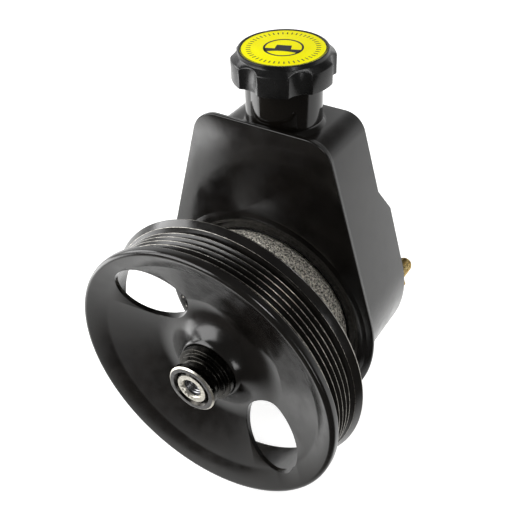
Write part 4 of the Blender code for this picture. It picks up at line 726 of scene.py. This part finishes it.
def threaded(name, root, crest, low, high, pitch, centre, inside=False, around=40, per_pitch=8):
    """A screw thread along Y between a smaller and a larger radius, as a sleeve of points."""
    rows = int((high - low) / pitch * per_pitch)
    shape = bmesh.new()
    grid = []
    for row in range(rows + 1):
        y = low + (high - low) * row / rows
        fade = min(1.0, min(y - low, high - y) / pitch)
        ring = []
        for step in range(around):
            phase = ((y - low) / pitch - step / around) % 1.0
            ridge = 1 - abs(2 * phase - 1)
            ridge = min(1.0, max(0.0, ridge * FLANK_SLOPE - (FLANK_SLOPE - 1) / 2)) * fade
            radius = crest - (crest - root) * ridge if inside else root + (crest - root) * ridge
            angle = 2 * pi * step / around
            place = (centre[0] + radius * cos(angle), y, centre[1] + radius * sin(angle))
            ring.append(shape.verts.new(place))
        grid.append(ring)
    skin(shape, grid)
    for ring in (grid[0], grid[-1]):
        shape.faces.new(ring)
    return finished(name, shape, 60)


# %% [markdown]
# The shaft's end has a threaded hole for a puller's screw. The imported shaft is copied, so what the
# hub hides stays as it is, and two turned tools cut the hole's mouth and the chamfer. A thin
# threaded sleeve lines the hole.

# %% Shaft with its threaded end
SHAFT_FRONT = shaft_low.y
SHAFT_RADIUS = 9.5 * MM
THREAD_MOUTH = 5.8 * MM
THREAD_INNER = 4.35 * MM
THREAD_OUTER = 4.9 * MM
THREAD_PITCH = 1.5 * MM
THREAD_START = SHAFT_FRONT + 1.4 * MM
hole_end = SHAFT_FRONT + 26.0 * MM
shaft_end = packed_copy("drive_shaft", "shaft_front")
profile = [(0, SHAFT_FRONT - 1 * MM, 0), (THREAD_MOUTH + 1 * MM, SHAFT_FRONT - 1 * MM, 0),
           (THREAD_MOUTH, SHAFT_FRONT, 0.4), (THREAD_OUTER, THREAD_START, 0),
           (THREAD_OUTER, hole_end, 0), (0, hole_end, 0)]
combine(shaft_end, turned("bore_tool", profile, 96))
profile = [(SHAFT_RADIUS - 1.6 * MM, SHAFT_FRONT - 0.6 * MM, 0),
           (SHAFT_RADIUS + 1 * MM, SHAFT_FRONT - 0.6 * MM, 0),
           (SHAFT_RADIUS + 1 * MM, SHAFT_FRONT + 2 * MM, 0)]
combine(shaft_end, turned("chamfer_tool", profile, 96))
shade(shaft_end.data, 30)
dress(shaft_end, "ground_steel", "steel_bright", "shaft_and_pulley", "drive_shaft")
shaft_end.data.materials.append(FINISH["oiled_steel"])
for face in shaft_end.data.polygons:
    distance = hypot(face.center.x, face.center.z)
    if distance > SHAFT_RADIUS - 1.0 * MM and face.center.y < SHAFT_FRONT + 3 * MM:
        face.material_index = 1
bore_thread = threaded("shaft_end_thread", THREAD_INNER, THREAD_OUTER, THREAD_START - 0.4 * MM,
                       hole_end, THREAD_PITCH, (0.0, 0.0), inside=True)
shape = bmesh.new()
shape.from_mesh(bore_thread.data)
lids = [face for face in shape.faces if len(face.verts) > 4]
bmesh.ops.delete(shape, geom=lids, context="FACES_ONLY")
bmesh.ops.reverse_faces(shape, faces=shape.faces)
shape.to_mesh(bore_thread.data)
shape.free()
dress(bore_thread, "spring_steel", "steel_dark", "shaft_and_pulley")

# %% [markdown]
# ## Casting
# The housing is sand cast, so every inside corner has a fillet and the skin is rough. A copy of
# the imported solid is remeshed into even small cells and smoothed, which rounds each corner as
# foundry fillets do, and a slow noise moves its skin by a tenth of a millimetre.

# %% Rough casting
CELL = 0.9 * MM
RIPPLES = ((5.0, 0.10), (1.7, 0.08))  # width and height in millimetres
casting = packed_copy("pump_housing", "casting")
weld = casting.modifiers.new("weld", "WELD")
weld.merge_threshold = 0.00001
remesh = casting.modifiers.new("cells", "REMESH")
remesh.mode = "VOXEL"
remesh.voxel_size = CELL
relax = casting.modifiers.new("fillets", "SMOOTH")
relax.factor = 0.5
relax.iterations = 4
settle(casting)
directions = [vertex.normal.copy() for vertex in casting.data.vertices]
for vertex, direction in zip(casting.data.vertices, directions):
    ripple = sum(noise.noise(vertex.co / (width * MM)) * height for width, height in RIPPLES)
    vertex.co += direction * ripple * MM
casting.data.set_sharp_from_angle(angle=radians(80))
# light speckles in this finish: partly grain, partly painted glints
dress(casting, "cast_grain_and_glint", "cast_black", "pump_body", "pump_housing")

# %% [markdown]
# The bosses' faces are machined flat after casting. Thin turned rings of satin steel lie on them
# and make their bolt holes crisp again.

# %% Machined boss faces
SIDES = {"left": -1, "right": 1}
BOSS_DISTANCE = 38.0 * MM
BOSS_HOLE = 4.25 * MM
BOSS_RADIUS = 8.7 * MM
for word, side in SIDES.items():
    profile = sleeve(BOSS_HOLE, BOSS_RADIUS, -0.05 * MM, 0.6 * MM, low_edge=0.3)
    face = turned("boss_face_" + word, profile, 64, centre=(side * BOSS_DISTANCE, 0.0))
    dress(face, "satin_steel", "steel_dark", "pump_body")

# %% [markdown]
# ## Reservoir outline
# The reservoir has one outline: a flat top with round corners, straight sides that widen
# downwards, and a round bottom about the shaft. The front plate and the can behind it are insets
# of it, so the outline is worked out once from the plate's box.

# %% Teardrop outline
plate_low, plate_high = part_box("reservoir_front_plate")
PLATE_TOP = plate_high.z
PLATE_ROUND = plate_high.x
TOP_HALF_WIDTH = 36.6 * MM


def teardrop(inset, corner_radius, corner_steps=10, round_steps=84):
    """The reservoir's outline, drawn in by an inset."""
    reach = hypot(TOP_HALF_WIDTH, PLATE_TOP)
    lean = atan2(PLATE_TOP, TOP_HALF_WIDTH) - acos(PLATE_ROUND / reach)
    radius = PLATE_ROUND - inset
    corner_z = PLATE_TOP - inset - corner_radius
    corner_x = (radius - corner_radius - corner_z * sin(lean)) / cos(lean)
    outline = arc((corner_x, corner_z), corner_radius, pi / 2, lean, corner_steps)
    outline += arc((0, 0), radius, lean, -pi - lean, round_steps)
    outline += arc((-corner_x, corner_z), corner_radius, pi - lean, pi / 2, corner_steps)
    return outline


print("plate", round(PLATE_ROUND / MM, 1), "mm about the shaft")

# %% [markdown]
# ## Front plate
# The plate is thin sheet with a turned-in collar round the casting and a soft raised ring outside
# its dish. The flat sheet is a filled outline with rounded edges. The dish, ring and collar are
# turned, and overlap it by a hair so no seam shows.

# %% Front plate
PLATE_FRONT = plate_low.y
PLATE_SHEET = 1.7 * MM
PLATE_CORNER = 15.0 * MM
DISH_RADIUS = 57.0 * MM
DISH_DEPTH = 0.9 * MM
COLLAR_HOLE = 50.6 * MM
hole = arc((0, 0), DISH_RADIUS, 0, 2 * pi, 120)[:-1]
loops = [teardrop(0, PLATE_CORNER), hole]
plate = pressed("front_plate", loops, PLATE_FRONT, PLATE_FRONT + PLATE_SHEET, 0.45 * MM)
dress(plate, "satin_paint", "paint_black", "pump_body", "reservoir_front_plate")
dish = PLATE_FRONT + DISH_DEPTH
lap = DISH_RADIUS + 6.5 * MM
profile = [(lap, PLATE_FRONT + 0.05 * MM, 0),
           (DISH_RADIUS + 3.6 * MM, PLATE_FRONT - 0.45 * MM, 6),
           (DISH_RADIUS + 0.9 * MM, PLATE_FRONT - 0.2 * MM, 0.8),
           (DISH_RADIUS - 0.6 * MM, dish, 0.6), (COLLAR_HOLE + 2.0 * MM, dish, 1.6),
           (COLLAR_HOLE, dish + 2.0 * MM, 1.0), (COLLAR_HOLE, plate_high.y, 0.3),
           (COLLAR_HOLE + PLATE_SHEET, plate_high.y, 0.3),
           (COLLAR_HOLE + PLATE_SHEET, dish + PLATE_SHEET, 0.8),
           (DISH_RADIUS, dish + PLATE_SHEET, 0.4), (lap, PLATE_FRONT + 1.0 * MM, 0)]
ring = turned("plate_dish", profile, 160)
dress(ring, "satin_paint", "paint_black", "pump_body")

# %% [markdown]
# ## Can
# The can is deep drawn: its rear edge is round, and its rear face steps forward above the valve.
# It is built as a press would shape it: an extruded outline, a wedge off its upper back, and a
# wide bevel. The inside is the same form, smaller, so the lifted cap shows a hollow can.

# %% Drawn can
CAN_INSET = 7.0 * MM
CAN_WALL = 1.6 * MM
CAN_CORNER = 12.0 * MM
CAN_BEND = 5.0 * MM
can_low, can_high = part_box("reservoir_can")
CAN_REAR = can_high.y
CAN_FRONT = can_low.y
UPPER_REAR = CAN_REAR - 8.6 * MM
STEP_LOW = 52.0 * MM
STEP_HIGH = 66.0 * MM
CAN_TOP = PLATE_TOP - CAN_INSET
CLEAR = 0.09  # half width of the cutting tools, beyond the can's sides


def drawn(name, inset, rear, upper, bend):
    """One stepped and rounded form, open-ended far in front of the can's mouth."""
    outline = teardrop(inset, CAN_CORNER - (inset - CAN_INSET))
    body = pressed(name, [outline], CAN_FRONT - 15 * MM, rear, 0)
    slope = (rear - upper) / (STEP_HIGH - STEP_LOW)
    back = rear + 10 * MM
    section = [(upper, STEP_HIGH), (upper, PLATE_TOP), (back, PLATE_TOP),
               (back, STEP_LOW - 10 * MM / slope)]
    shape = bmesh.new()
    verts = [shape.verts.new((x, y, z)) for x in (-CLEAR, CLEAR) for y, z in section]
    shape.faces.new(verts[:4])
    shape.faces.new(verts[4:])
    for i in range(4):
        j = (i + 1) % 4
        shape.faces.new((verts[i], verts[j], verts[j + 4], verts[i + 4]))
    combine(body, finished(name + "_step", shape))
    bevel = body.modifiers.new("bend", "BEVEL")
    bevel.width = bend
    bevel.segments = 6
    bevel.limit_method = "ANGLE"
    bevel.angle_limit = radians(30)
    settle(body)
    return body


can = drawn("can", CAN_INSET, CAN_REAR, UPPER_REAR, CAN_BEND)
rim_loops = [teardrop(0.8 * MM, 12.5 * MM), teardrop(CAN_INSET + CAN_WALL / 2, CAN_CORNER)]
combine(can, pressed("can_rim", rim_loops, CAN_FRONT - 1 * MM, CAN_FRONT + CAN_WALL, 0.4 * MM), "UNION")
inside = drawn("can_inside", CAN_INSET + CAN_WALL, CAN_REAR - CAN_WALL, UPPER_REAR - CAN_WALL,
               CAN_BEND - CAN_WALL)
combine(can, inside)
front = [rectangle(-CLEAR, CLEAR, -CLEAR, 0.13)]
combine(can, pressed("can_mouth", front, CAN_FRONT - 20 * MM, CAN_FRONT, 0))
print(len(can.data.polygons), "faces in the can")

# %% [markdown]
# Holes for the neck, union, tube and studs are punched through the finished can. Their places come
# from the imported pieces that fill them.

# %% Holes in the can
neck_low, neck_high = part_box("filler_neck")
NECK_CENTRE = (0.0, (neck_low.y + neck_high.y) / 2)


def box_and_axis(node):
    """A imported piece's box, and where its axis crosses the rear: x and z."""
    low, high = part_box(node)
    return low, high, ((low.x + high.x) / 2, (low.z + high.z) / 2)


union_low, union_high, UNION_CENTRE = box_and_axis("outlet_union")
tube_low, tube_high, TUBE_CENTRE = box_and_axis("return_tube")
stud_low, stud_high, right_stud = box_and_axis("mounting_stud_right")
STUD_CENTRES = {word: (side * right_stud[0], right_stud[1]) for word, side in SIDES.items()}
NECK_HOLE = 15.4 * MM
UNION_HOLE = 9.2 * MM
TUBE_HOLE = 3.9 * MM
STUD_HOLE = 4.1 * MM


def punch(radius, wall, centre, along="Y"):
    """Punch a round hole through the can's wall."""
    profile = sleeve(0, radius, wall - 4 * MM, wall + 2 * MM)
    combine(can, turned("punch", profile, 48, along, centre))


punch(NECK_HOLE, CAN_TOP, NECK_CENTRE, "Z")
punch(UNION_HOLE, CAN_REAR, UNION_CENTRE)
punch(TUBE_HOLE, UPPER_REAR, TUBE_CENTRE)
for centre in STUD_CENTRES.values():
    punch(STUD_HOLE, CAN_REAR, centre)
dress(can, "satin_paint", "paint_black", "pump_body", "reservoir_can")

# %% [markdown]
# ## Filler neck
# The neck is a tube brazed on the can's top, with a foot where the braze has run. One turned
# profile holds the tube, its folded lip and the foot, and the two notches that let the cap's lugs
# through are cut from the lip.

# %% Filler neck
NECK_RADIUS = 19.1 * MM
NECK_TOP = neck_high.z
NECK_MOUTH = 14.0 * MM
NECK_BORE = 17.4 * MM
NECK_FOOT = 21.0 * MM
lip_under = NECK_TOP - 2.4 * MM
profile = [(NECK_MOUTH, NECK_TOP, 0.4), (NECK_RADIUS, NECK_TOP, 0.9),
           (NECK_RADIUS, CAN_TOP + 2.2 * MM, 2.0), (NECK_FOOT, CAN_TOP, 0),
           (NECK_BORE, CAN_TOP, 0), (NECK_BORE, lip_under, 0.4),
           (NECK_MOUTH, lip_under, 0.4)]
neck = turned("neck", profile, 112, "Z", NECK_CENTRE)
notch = [rectangle(-17 * MM, 17 * MM, NECK_CENTRE[1] - 6 * MM, NECK_CENTRE[1] + 6 * MM)]
combine(neck, pressed("notch_tool", notch, NECK_TOP - 3.4 * MM, NECK_TOP + 2 * MM, 0, "Z"))
dress(neck, "gloss_paint", "paint_black", "pump_body", "filler_neck")

# %% [markdown]
# ## Cap
# The cap is moulded as a knob: six round scallops are scooped from its edge, a shoulder slopes up
# to a plain rim, and a shallow recess holds the label. Each row of points below has a radius and a
# height in a scallop's middle and others on a grip. The scallop's own arc says how far each angle
# lies between the two, so the whole cap is one lofted skin.

# %% Scallops
GRIPS = 6
GRIP_ANGLE = radians(-71.1)
GRIP_RADIUS = 25.4 * MM
SCALLOP_DEPTH = 2.5 * MM
SCALLOP_ARC = 9.5 * MM
EDGE_SOFTNESS = 0.14 * MM
scallop_low = GRIP_RADIUS - SCALLOP_DEPTH
scallop_centre = scallop_low + SCALLOP_ARC


def grip_share(angle):
    """0 in the middle of a scallop, 1 on a grip, with a slightly soft edge between them."""
    pitch = 2 * pi / GRIPS
    off = ((angle - GRIP_ANGLE) / pitch) % 1.0 * pitch - pitch / 2
    reach = SCALLOP_ARC ** 2 - (scallop_centre * sin(off)) ** 2
    radius = scallop_centre * cos(off) - sqrt(reach) if reach > 0 else scallop_centre
    gap = GRIP_RADIUS - radius
    softened = GRIP_RADIUS - (gap + sqrt(gap * gap + EDGE_SOFTNESS ** 2)) / 2
    return (softened - scallop_low) / SCALLOP_DEPTH


print("scallop arcs round points", round(scallop_centre / MM, 1), "mm from the axis")

# %% Cap body
cap_low, cap_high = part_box("cap")
CAP_STEPS = 360
CAP_TOP = cap_high.z
CAP_SKIRT = CAP_TOP - 14.2 * MM
CEILING = CAP_TOP - 6.1 * MM
STEM_LOW = cap_low.z
LABEL_FLOOR = CAP_TOP - 0.9 * MM
RIM_RADIUS = 21.9 * MM
RIM_INNER = 20.8 * MM
RIM_FOOT = CAP_TOP - 2.1 * MM
SHOULDER_SLOPE = 0.55
SKIRT_BORE = 19.7 * MM
STEM_RADIUS = 13.3 * MM


def shoulder(radius):
    """Height of the sloping shoulder at a radius."""
    return RIM_FOOT - SHOULDER_SLOPE * (radius - RIM_RADIUS)


# each row: radius and height in a scallop, radius and height on a grip
recess_and_rim = [(0, LABEL_FLOOR), (RIM_INNER - 0.1 * MM, LABEL_FLOOR),
                  (RIM_INNER, LABEL_FLOOR + 0.1 * MM), (RIM_INNER, CAP_TOP - 0.25 * MM),
                  (RIM_INNER + 0.25 * MM, CAP_TOP), (RIM_RADIUS - 0.35 * MM, CAP_TOP),
                  (RIM_RADIUS - 0.1 * MM, CAP_TOP - 0.1 * MM), (RIM_RADIUS, CAP_TOP - 0.35 * MM),
                  (RIM_RADIUS, RIM_FOOT + 0.3 * MM)]
foot = RIM_RADIUS + 0.25 * MM
recess_and_rim.append((foot, shoulder(foot)))
cap_rows = [2 * corner for corner in recess_and_rim]
for inset, drop in ((0.45 * MM, 0), (0.14 * MM, 0.14 * MM), (0, 0.5 * MM)):
    low = scallop_low - inset
    high = GRIP_RADIUS - inset
    cap_rows.append((low, shoulder(low) - drop, high, shoulder(high) - drop))
for inset, lift in ((0, 0.5 * MM), (0.14 * MM, 0.14 * MM), (0.5 * MM, 0)):
    cap_rows.append((scallop_low - inset, CAP_SKIRT + lift, GRIP_RADIUS - inset, CAP_SKIRT + lift))
underside = [(SKIRT_BORE + 0.3 * MM, CAP_SKIRT), (SKIRT_BORE, CAP_SKIRT + 0.3 * MM),
             (SKIRT_BORE, CEILING), (STEM_RADIUS, CEILING), (STEM_RADIUS, STEM_LOW + 0.5 * MM),
             (STEM_RADIUS - 0.5 * MM, STEM_LOW), (0, STEM_LOW)]
cap_rows += [2 * corner for corner in underside]

shape = bmesh.new()
rows = []
for low_radius, low_height, high_radius, high_height in cap_rows:
    row = []
    for step in range(CAP_STEPS):
        angle = 2 * pi * step / CAP_STEPS
        share = grip_share(angle)
        radius = low_radius + (high_radius - low_radius) * share
        height = low_height + (high_height - low_height) * share
        place = (radius * cos(angle), NECK_CENTRE[1] + radius * sin(angle), height)
        row.append(shape.verts.new(place))
    rows.append(row)
skin(shape, rows)
cap = finished("cap_body", shape, 38)
dress(cap, "moulded_plastic", "plastic_black", "filler_cap", "cap")

# %% [markdown]
# Two lugs under the cap pass the neck's notches and lock under its lip when the cap is turned. One
# bar with round edges, pressed through the stem, gives both.

# %% Lugs under the cap
LUG_TOP = NECK_TOP - 2.8 * MM
LUG_LOW = LUG_TOP - 3.7 * MM
bar = [rectangle(-16.6 * MM, 16.6 * MM, NECK_CENTRE[1] - 5 * MM, NECK_CENTRE[1] + 5 * MM)]
lugs = pressed("cap_lugs", bar, LUG_LOW, LUG_TOP, 0.4 * MM, "Z")
dress(lugs, "moulded_plastic", "plastic_black", "filler_cap")

# %% [markdown]
# ## Label
# The label is a yellow disc printed in dark ink: a thin border, a ring and a plain sign of a
# steering wheel on its column. The real one also carries words, which are left off; short strokes
# like those on a dial stand where they were. Ink is modelled as very thin raised pieces, which
# keeps its edges sharp at any distance.

# %% Label disc and printed rings
label_low, label_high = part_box("cap_label")
LABEL_RADIUS = 20.6 * MM
LABEL_TOP = label_high.z
INK = 0.06 * MM
profile = sleeve(0, LABEL_RADIUS, label_low.z, LABEL_TOP, high_edge=0.15)
label = turned("label", profile, 112, "Z", NECK_CENTRE)
dress(label, "label_yellow", "label_yellow", "filler_cap", "cap_label")


def inked(piece):
    """Give a piece of the print its ink."""
    dress(piece, "label_ink", "plastic_black", "filler_cap")


def printed_ring(name, inner, outer):
    """Ring of ink between two radii, in metres."""
    profile = sleeve(inner, outer, LABEL_TOP - INK, LABEL_TOP + INK)
    inked(turned(name, profile, 96, "Z", NECK_CENTRE))


printed_ring("label_border", 20.15 * MM, 20.5 * MM)
printed_ring("label_ring", 8.75 * MM, 9.7 * MM)

# %% Wheel sign and strokes
LABEL_TURN = radians(20.0)


def printed(name, loops, height=INK):
    """Flat shapes of ink, drawn about the label's middle in millimetres before it is turned."""
    placed = []
    for loop in loops:
        turned_loop = spun(loop, LABEL_TURN)
        placed.append([(u * MM, NECK_CENTRE[1] + v * MM) for u, v in turned_loop])
    inked(pressed(name, placed, LABEL_TOP - INK, LABEL_TOP + height, 0, "Z"))


BAR_HEIGHT = -1.6
BAR_CURVE = 20.0
bar_foot = arc((0, -3.9 - BAR_CURVE), BAR_CURVE, radians(66), radians(114), 16)
column = [(-3.9, BAR_HEIGHT - 0.6), (3.9, BAR_HEIGHT - 0.6), (3.6, 2.5), (-3.6, 2.5)]
bar = [(-9.1, BAR_HEIGHT), (-8.1, -5.4)] + bar_foot[::-1] + [(8.1, -5.4), (9.1, BAR_HEIGHT)]
printed("wheel_sign_bar", [bar])
printed("wheel_sign_column", [column], INK * 1.2)

STROKES = 46
stroke = rectangle(15.6, 17.8, -0.24, 0.24)
printed("label_strokes", [spun(stroke, 2 * pi * i / STROKES) for i in range(STROKES)])

# %% [markdown]
# ## Studs, outlet union and return tube
# The rear carries two plated studs with hexagons, a plated union for the pressure line, and the
# return tube with a bead that holds a hose. Each is turned, with real threads on the studs and a
# hexagon whose corners are cut back by a cone, as a machined nut's are.

# %% Hexagons


def hexagon_nut(name, across, bore, low, high, centre):
    """Hexagon with chamfered corners: a prism cut down by a turned double cone."""
    flat = across / 2
    circle = flat / cos(pi / 6)
    nut = pressed(name, [arc(centre, circle, 0, 2 * pi, 6)[:-1]], low, high, 0)
    drop = (circle - flat) * 0.6
    cone = [(bore, low, 0), (flat, low, 0), (circle, low + drop, 0), (circle, high - drop, 0),
            (flat, high, 0), (bore, high, 0)]
    combine(nut, turned(name + "_cone", cone, 96, centre=centre), "INTERSECT")
    return nut


def plated(piece, *replaced):
    """Give a fitting on the rear its yellow zinc."""
    dress(piece, "yellow_zinc", "zinc_yellow", "pump_body", *replaced)


# %% Rear studs
STUD_ROOT = 3.9 * MM
STUD_CREST = 4.6 * MM
STUD_PITCH = 1.5 * MM
STUD_NECK = 3.8 * MM
STUD_HEXAGON = 14.0 * MM
WASHER_REAR = stud_high.y - 23.0 * MM
HEX_REAR = WASHER_REAR + 5.8 * MM
for word, centre in STUD_CENTRES.items():
    stud = threaded("stud_thread_" + word, STUD_ROOT, STUD_CREST, HEX_REAR - 0.5 * MM,
                    stud_high.y, STUD_PITCH, centre)
    plated(stud, "mounting_stud_" + word)
    plated(hexagon_nut("stud_hexagon_" + word, STUD_HEXAGON, 2.0 * MM, WASHER_REAR, HEX_REAR, centre))
    profile = sleeve(0, STUD_NECK, stud_low.y, WASHER_REAR + 1 * MM, low_edge=0.4)
    plated(turned("stud_root_" + word, profile, 40, centre=centre))

# %% Outlet union
UNION_END = union_high.y
UNION_BORE = 3.4 * MM
UNION_SPIGOT = 7.3 * MM
UNION_COLLAR = 8.9 * MM
UNION_NECK = 7.0 * MM
UNION_HEXAGON = 24.0 * MM
collar_low = union_low.y + 2.3 * MM
union_hex_low = UNION_END - 17.0 * MM
collar_high = union_hex_low + 1 * MM
profile = [(UNION_BORE, union_low.y, 0.2), (UNION_SPIGOT, union_low.y, 0.4),
           (UNION_SPIGOT, collar_low, 0), (UNION_COLLAR, collar_low, 0.4),
           (UNION_COLLAR, collar_high, 0), (UNION_NECK, collar_high, 0),
           (UNION_NECK, UNION_END - 1.6 * MM, 0.3), (5.6 * MM, UNION_END, 0.3),
           (UNION_BORE, UNION_END, 0.3)]
plated(turned("union", profile, 80, centre=UNION_CENTRE), "outlet_union")
plated(hexagon_nut("union_hexagon", UNION_HEXAGON, 6.0 * MM, union_hex_low, UNION_END - 11.0 * MM,
                   UNION_CENTRE))

# %% Return tube
TUBE_FRONT = tube_low.y
TUBE_REAR = tube_high.y
TUBE_RADIUS = 5.0 * MM
TUBE_FOOT = 8.0 * MM
bead_rear = TUBE_REAR - 3.0 * MM
profile = [(TUBE_HOLE, UPPER_REAR, 0), (TUBE_FOOT, UPPER_REAR, 0.3),
           (TUBE_FOOT, TUBE_FRONT + 1.2 * MM, 0.6),
           (TUBE_RADIUS, TUBE_FRONT + 1.8 * MM, 1.0),
           (TUBE_RADIUS, bead_rear - 3 * MM, 1.0),
           (TUBE_RADIUS + 0.9 * MM, bead_rear - 1.5 * MM, 1.2),
           (TUBE_RADIUS, bead_rear, 1.0), (TUBE_RADIUS, TUBE_REAR, 0.4),
           (TUBE_HOLE, TUBE_REAR, 0.3)]
tube = turned("hose_tube", profile, 64, centre=TUBE_CENTRE)
dress(tube, "gloss_paint", "paint_black", "pump_body", "return_tube")

# %% [markdown]
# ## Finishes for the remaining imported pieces
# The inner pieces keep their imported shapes, which are plain rings, plates and springs. Each gets
# the finish of its real material, because a section or a lifted cap shows them.

# %% Inner pieces
KEPT_FINISHES = {
    "bearing_bronze": ["shaft_bushing"],
    "seal_rubber": ["shaft_seal", "pressure_plate_seal", "end_plate_seal", "outlet_seal",
                    "stud_seal_left", "stud_seal_right", "reservoir_seal", "cap_gasket"],
    "oiled_steel": ["thrust_plate", "pressure_plate", "end_plate", "relief_plug", "relief_ball_guide"],
    "ground_steel": ["cam_ring", "dowel_pin_lower", "dowel_pin_upper", "flow_valve_spool",
                     "relief_ball", "rotor"],
    "spring_steel": ["pressure_plate_spring", "end_plate_snap_ring", "flow_valve_spring", "relief_spring",
                     "rotor_retaining_ring"] + ["vane_%02d" % number for number in range(1, 11)],
    "sintered_magnet": ["magnet"],
    "moulded_plastic": ["dipstick"],
}
for finish, names in KEPT_FINISHES.items():
    for name in names:
        for slot in nodes[name].material_slots:
            slot.material = FINISH[finish]
    print(finish, "on", len(names), "packed pieces")

# %% [markdown]
# ## Sizes and finish
# The visible object should stay the size of the imported one, so both boxes are printed.

# %% Print the sizes
seen_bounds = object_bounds()
for corner, seen in zip(cad_bounds, seen_bounds):
    print("cad", [round(v / MM, 2) for v in corner], "visual", [round(v / MM, 2) for v in seen])
